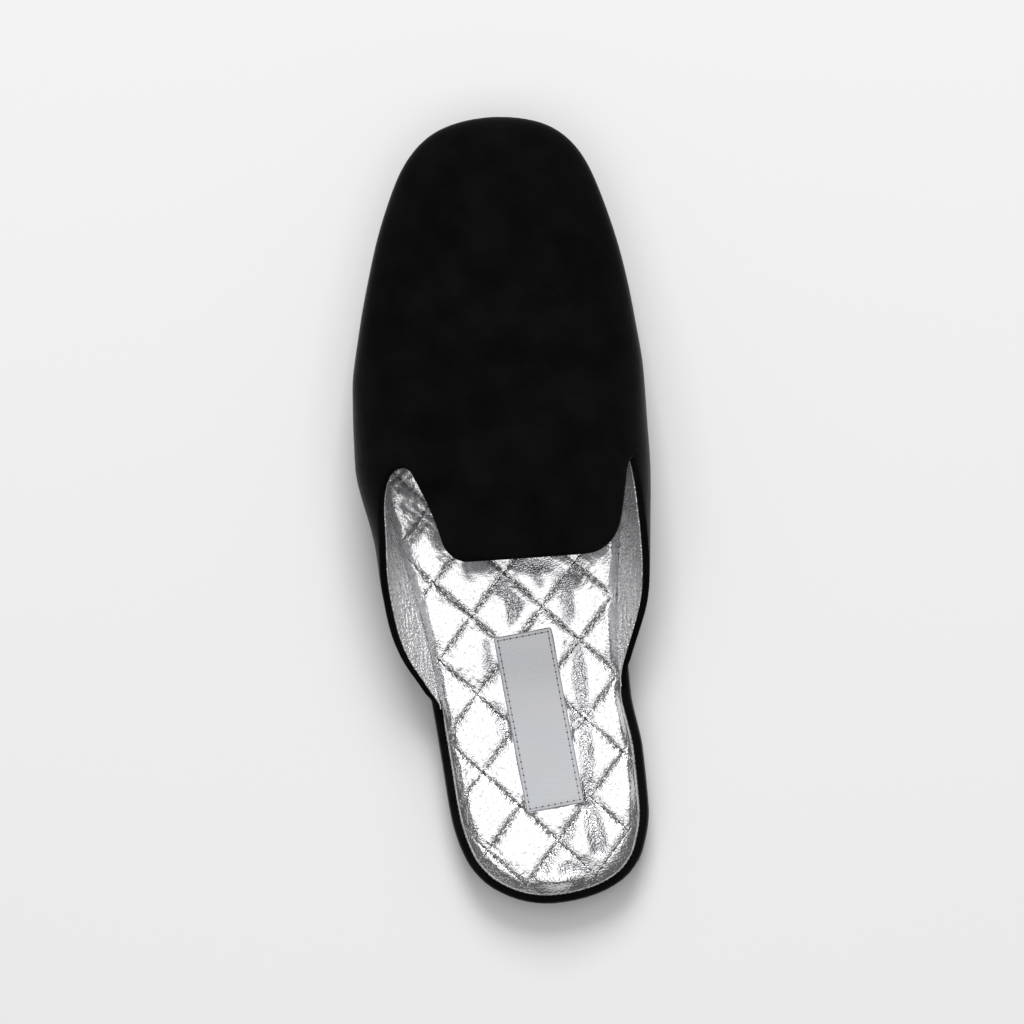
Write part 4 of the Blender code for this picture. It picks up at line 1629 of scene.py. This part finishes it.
@dataclass
class LabelPatch:
    """Bare grey patch lying on the pressed quilting, sewn down near its edge."""

    label: Label
    footbed: Footbed
    columns: int = 28
    rows: int = 84
    lift: float = 0.06
    edge_drop: float = 0.14
    edge_run: float = 1.1
    edge_bevel: float = 0.2
    sharp_from: float = math.radians(50)
    seam_width: float = 0.5
    seam_depth: float = 0.05
    stitch_gap: float = 0.12
    hole_below: float = 0.16
    hole_above: float = 0.08
    hole_sides: int = 10

    def under(self, points: np.ndarray) -> np.ndarray:
        """Height of the underside of the patch at plan points."""
        return self.footbed.last.pad_top(points[:, 1]) + self.footbed.label_bed(points) + self.lift

    def face(self, points: np.ndarray) -> np.ndarray:
        """Height of the top of the patch at plan points."""
        outside = self.label.outside(points)
        drop = smooth_step(-self.edge_run, 0.0, outside) * self.edge_drop
        seam = np.exp(-(((outside + self.label.stitch_inset) / self.seam_width) ** 2)) * self.seam_depth
        return self.under(points) + self.label.thickness - drop - seam

    def outline_points(self) -> np.ndarray:
        """Grid of plan points over the patch, with its corners rounded.

        Returns:
            Rows by columns by two.
        """
        half = np.array((self.label.width / 2, self.label.length / 2))
        across, lengthwise = np.meshgrid(
            np.linspace(-half[0], half[0], self.columns + 1),
            np.linspace(-half[1], half[1], self.rows + 1),
        )
        local = np.stack((across, lengthwise), axis=-1)
        core = half - self.label.corner_radius
        past = np.maximum(np.abs(local) - core, 0.0)
        length = np.maximum(np.linalg.norm(past, axis=-1, keepdims=True), 1e-9)
        rounded = past * past.max(axis=-1, keepdims=True) / length
        local = np.sign(local) * (np.minimum(np.abs(local), core) + rounded)
        return self.label.place(local[..., 0], local[..., 1])

    def patch(self) -> Mesh:
        """Closed body of the patch.

        Returns:
            The mesh.
        """
        bm = bmesh.new()
        plan = self.outline_points()
        flat = plan.reshape(-1, 2)
        for height in (self.face, self.under):
            lay_grid(bm, np.concatenate((flat, height(flat)[:, None]), axis=1).reshape(*plan.shape[:2], 3))
        loops = [edge for edge in bm.edges if edge.is_boundary]
        bmesh.ops.bridge_loops(bm, edges=loops)
        bmesh.ops.recalc_face_normals(bm, faces=bm.faces)
        bm.normal_update()
        corners = [edge for edge in bm.edges if edge.calc_face_angle(0.0) > self.sharp_from]
        bmesh.ops.bevel(
            bm,
            geom=corners,
            offset=self.edge_bevel * MM,
            affect="EDGES",
            segments=2,
            profile=0.5,
            material=-1,
        )
        return bm

    def holes(self) -> np.ndarray:
        """Plan points of the needle holes, in order round the patch.

        Returns:
            Any number by two, closed by its first point.
        """
        half = np.array((self.label.width / 2, self.label.length / 2)) - self.label.stitch_inset
        across, lengthwise = (max(round(2 * size / self.label.stitch_pitch), 1) for size in half)
        first, second = np.linspace(-1, 1, across + 1)[:-1], np.linspace(-1, 1, lengthwise + 1)[:-1]
        local = np.concatenate((
            np.stack((first, np.full(across, -1.0)), axis=-1),
            np.stack((np.full(lengthwise, 1.0), second), axis=-1),
            np.stack((-first, np.full(across, 1.0)), axis=-1),
            np.stack((np.full(lengthwise, -1.0), -second), axis=-1),
        )) * half
        local = np.concatenate((local, local[:1]))
        return self.label.place(local[:, 0], local[:, 1])

    def stitches(self) -> tuple[Mesh, Mesh]:
        """Thread between the needle holes, and dark discs of painted shade in the holes.

        Returns:
            The mesh of the thread and the mesh of the painted hole shade.
        """
        thread, holes = Thread(self.label.stitch_thickness), Thread(self.label.hole_width, self.hole_sides)
        points = self.holes()
        heights = self.face(points)
        for a, b, low, high in zip(points[:-1], points[1:], heights[:-1], heights[1:]):
            start, end = Vector((*a, low)), Vector((*b, high))
            run = (end - start) * self.stitch_gap
            thread.sew(start + run, end - run)
            holes.sew(start - Vector((0, 0, self.hole_below)), start + Vector((0, 0, self.hole_above)))
        return thread.mesh(), holes.mesh()

    def build(self) -> None:
        """Build and dress the patch and its stitches."""
        add_piece("label_patch", self.patch(), PATCH, ["label"])
        thread, holes = self.stitches()
        add_piece("label_stitches", thread, PATCH_THREAD)
        # Dark discs of painted shade in the needle holes.
        add_piece("label_needle_hole_shade", holes, NEEDLE_HOLE_SHADE)


@dataclass(frozen=True)
class Softbox:
    """Square light panel that faces the slipper."""

    name: str
    distance: float
    tilt: float
    swing: float
    size: float
    radiance: float

    def hang(self) -> None:
        """Put the panel in the scene."""
        panel = bpy.data.lights.new(self.name, "AREA")
        panel.shape = "SQUARE"
        panel.size = self.size
        panel.energy = self.radiance * math.pi * self.size**2
        lamp = bpy.data.objects.new(self.name, panel)
        ground = Vector((math.sin(self.swing), math.cos(self.swing))) * math.sin(self.tilt)
        lamp.location = Vector((*ground, math.cos(self.tilt))) * self.distance
        lamp.rotation_euler = (-lamp.location).to_track_quat("-Z", "Y").to_euler()
        lamp.visible_camera = False
        bpy.context.scene.collection.objects.link(lamp)


@dataclass
class Studio:
    """Pale floor, broad soft light from above and from the toe end, and the camera overhead."""

    floor_size: float = 12.0
    panels: tuple[Softbox, ...] = (
        Softbox("panel_overhead", 4.0, math.radians(4.0), 0.0, 5.4, 1.15),
        Softbox("panel_toe", 4.0, math.radians(50.0), math.radians(4.0), 1.8, 11.6),
    )
    air: float = 0.14
    camera_height: float = 2.2
    camera_offset: float = 0.048
    camera_roll: float = math.radians(4.0)
    camera_reach: float = 50.0
    frame_width: float = 0.35
    target: tuple[float, float, float] = (0.002, 0.0, 0.018)

    def floor(self) -> None:
        """Lay the floor."""
        bm = bmesh.new()
        bmesh.ops.create_grid(bm, x_segments=1, y_segments=1, size=self.floor_size / 2)
        mesh = bpy.data.meshes.new("floor")
        bm.to_mesh(mesh)
        bm.free()
        mesh.materials.append(FLOOR.material())
        floor = bpy.data.objects.new("floor", mesh)
        bpy.context.scene.collection.objects.link(floor)

    def lights(self) -> None:
        """Hang the light panels and fill the air."""
        for panel in self.panels:
            panel.hang()
        world = bpy.data.worlds.new("studio_air")
        world.use_nodes = True
        backdrop = world.node_tree.nodes["Background"]
        backdrop.inputs["Color"].default_value = (self.air, self.air, self.air, 1.0)
        bpy.context.scene.world = world

    def camera(self) -> None:
        """Set the camera overhead, turned as the photo is."""
        lens = bpy.data.cameras.new("camera")
        target = Vector(self.target)
        place = Vector((target.x + self.camera_offset, target.y, self.camera_height))
        lens.sensor_fit = "HORIZONTAL"
        lens.angle = 2 * math.atan(self.frame_width / 2 / (place - target).length)
        lens.clip_end = self.camera_reach
        camera = bpy.data.objects.new("camera", lens)
        back = (place - target).normalized()
        upright = Vector((math.sin(self.camera_roll), math.cos(self.camera_roll), 0.0))
        right = upright.cross(back).normalized()
        turn = Matrix((right, back.cross(right), back)).transposed()
        camera.matrix_world = Matrix.Translation(place) @ turn.to_4x4()
        bpy.context.scene.collection.objects.link(camera)
        bpy.context.scene.camera = camera
        bpy.context.scene.view_settings.view_transform = "Standard"

    def build(self) -> None:
        """Set up the floor, the lights and the camera."""
        self.floor()
        self.lights()
        self.camera()


def main() -> None:
    """Build the slipper and the studio, and note the size of the result."""
    logging.basicConfig(level=logging.INFO, format="%(message)s")
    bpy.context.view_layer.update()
    last, label = Last(), Label()
    Sole(last).build()
    Upper(last).build()
    footbed = Footbed(last, label)
    footbed.build()
    LabelPatch(label, footbed).build()
    Studio().build()


if __name__ == "__main__":
    main()
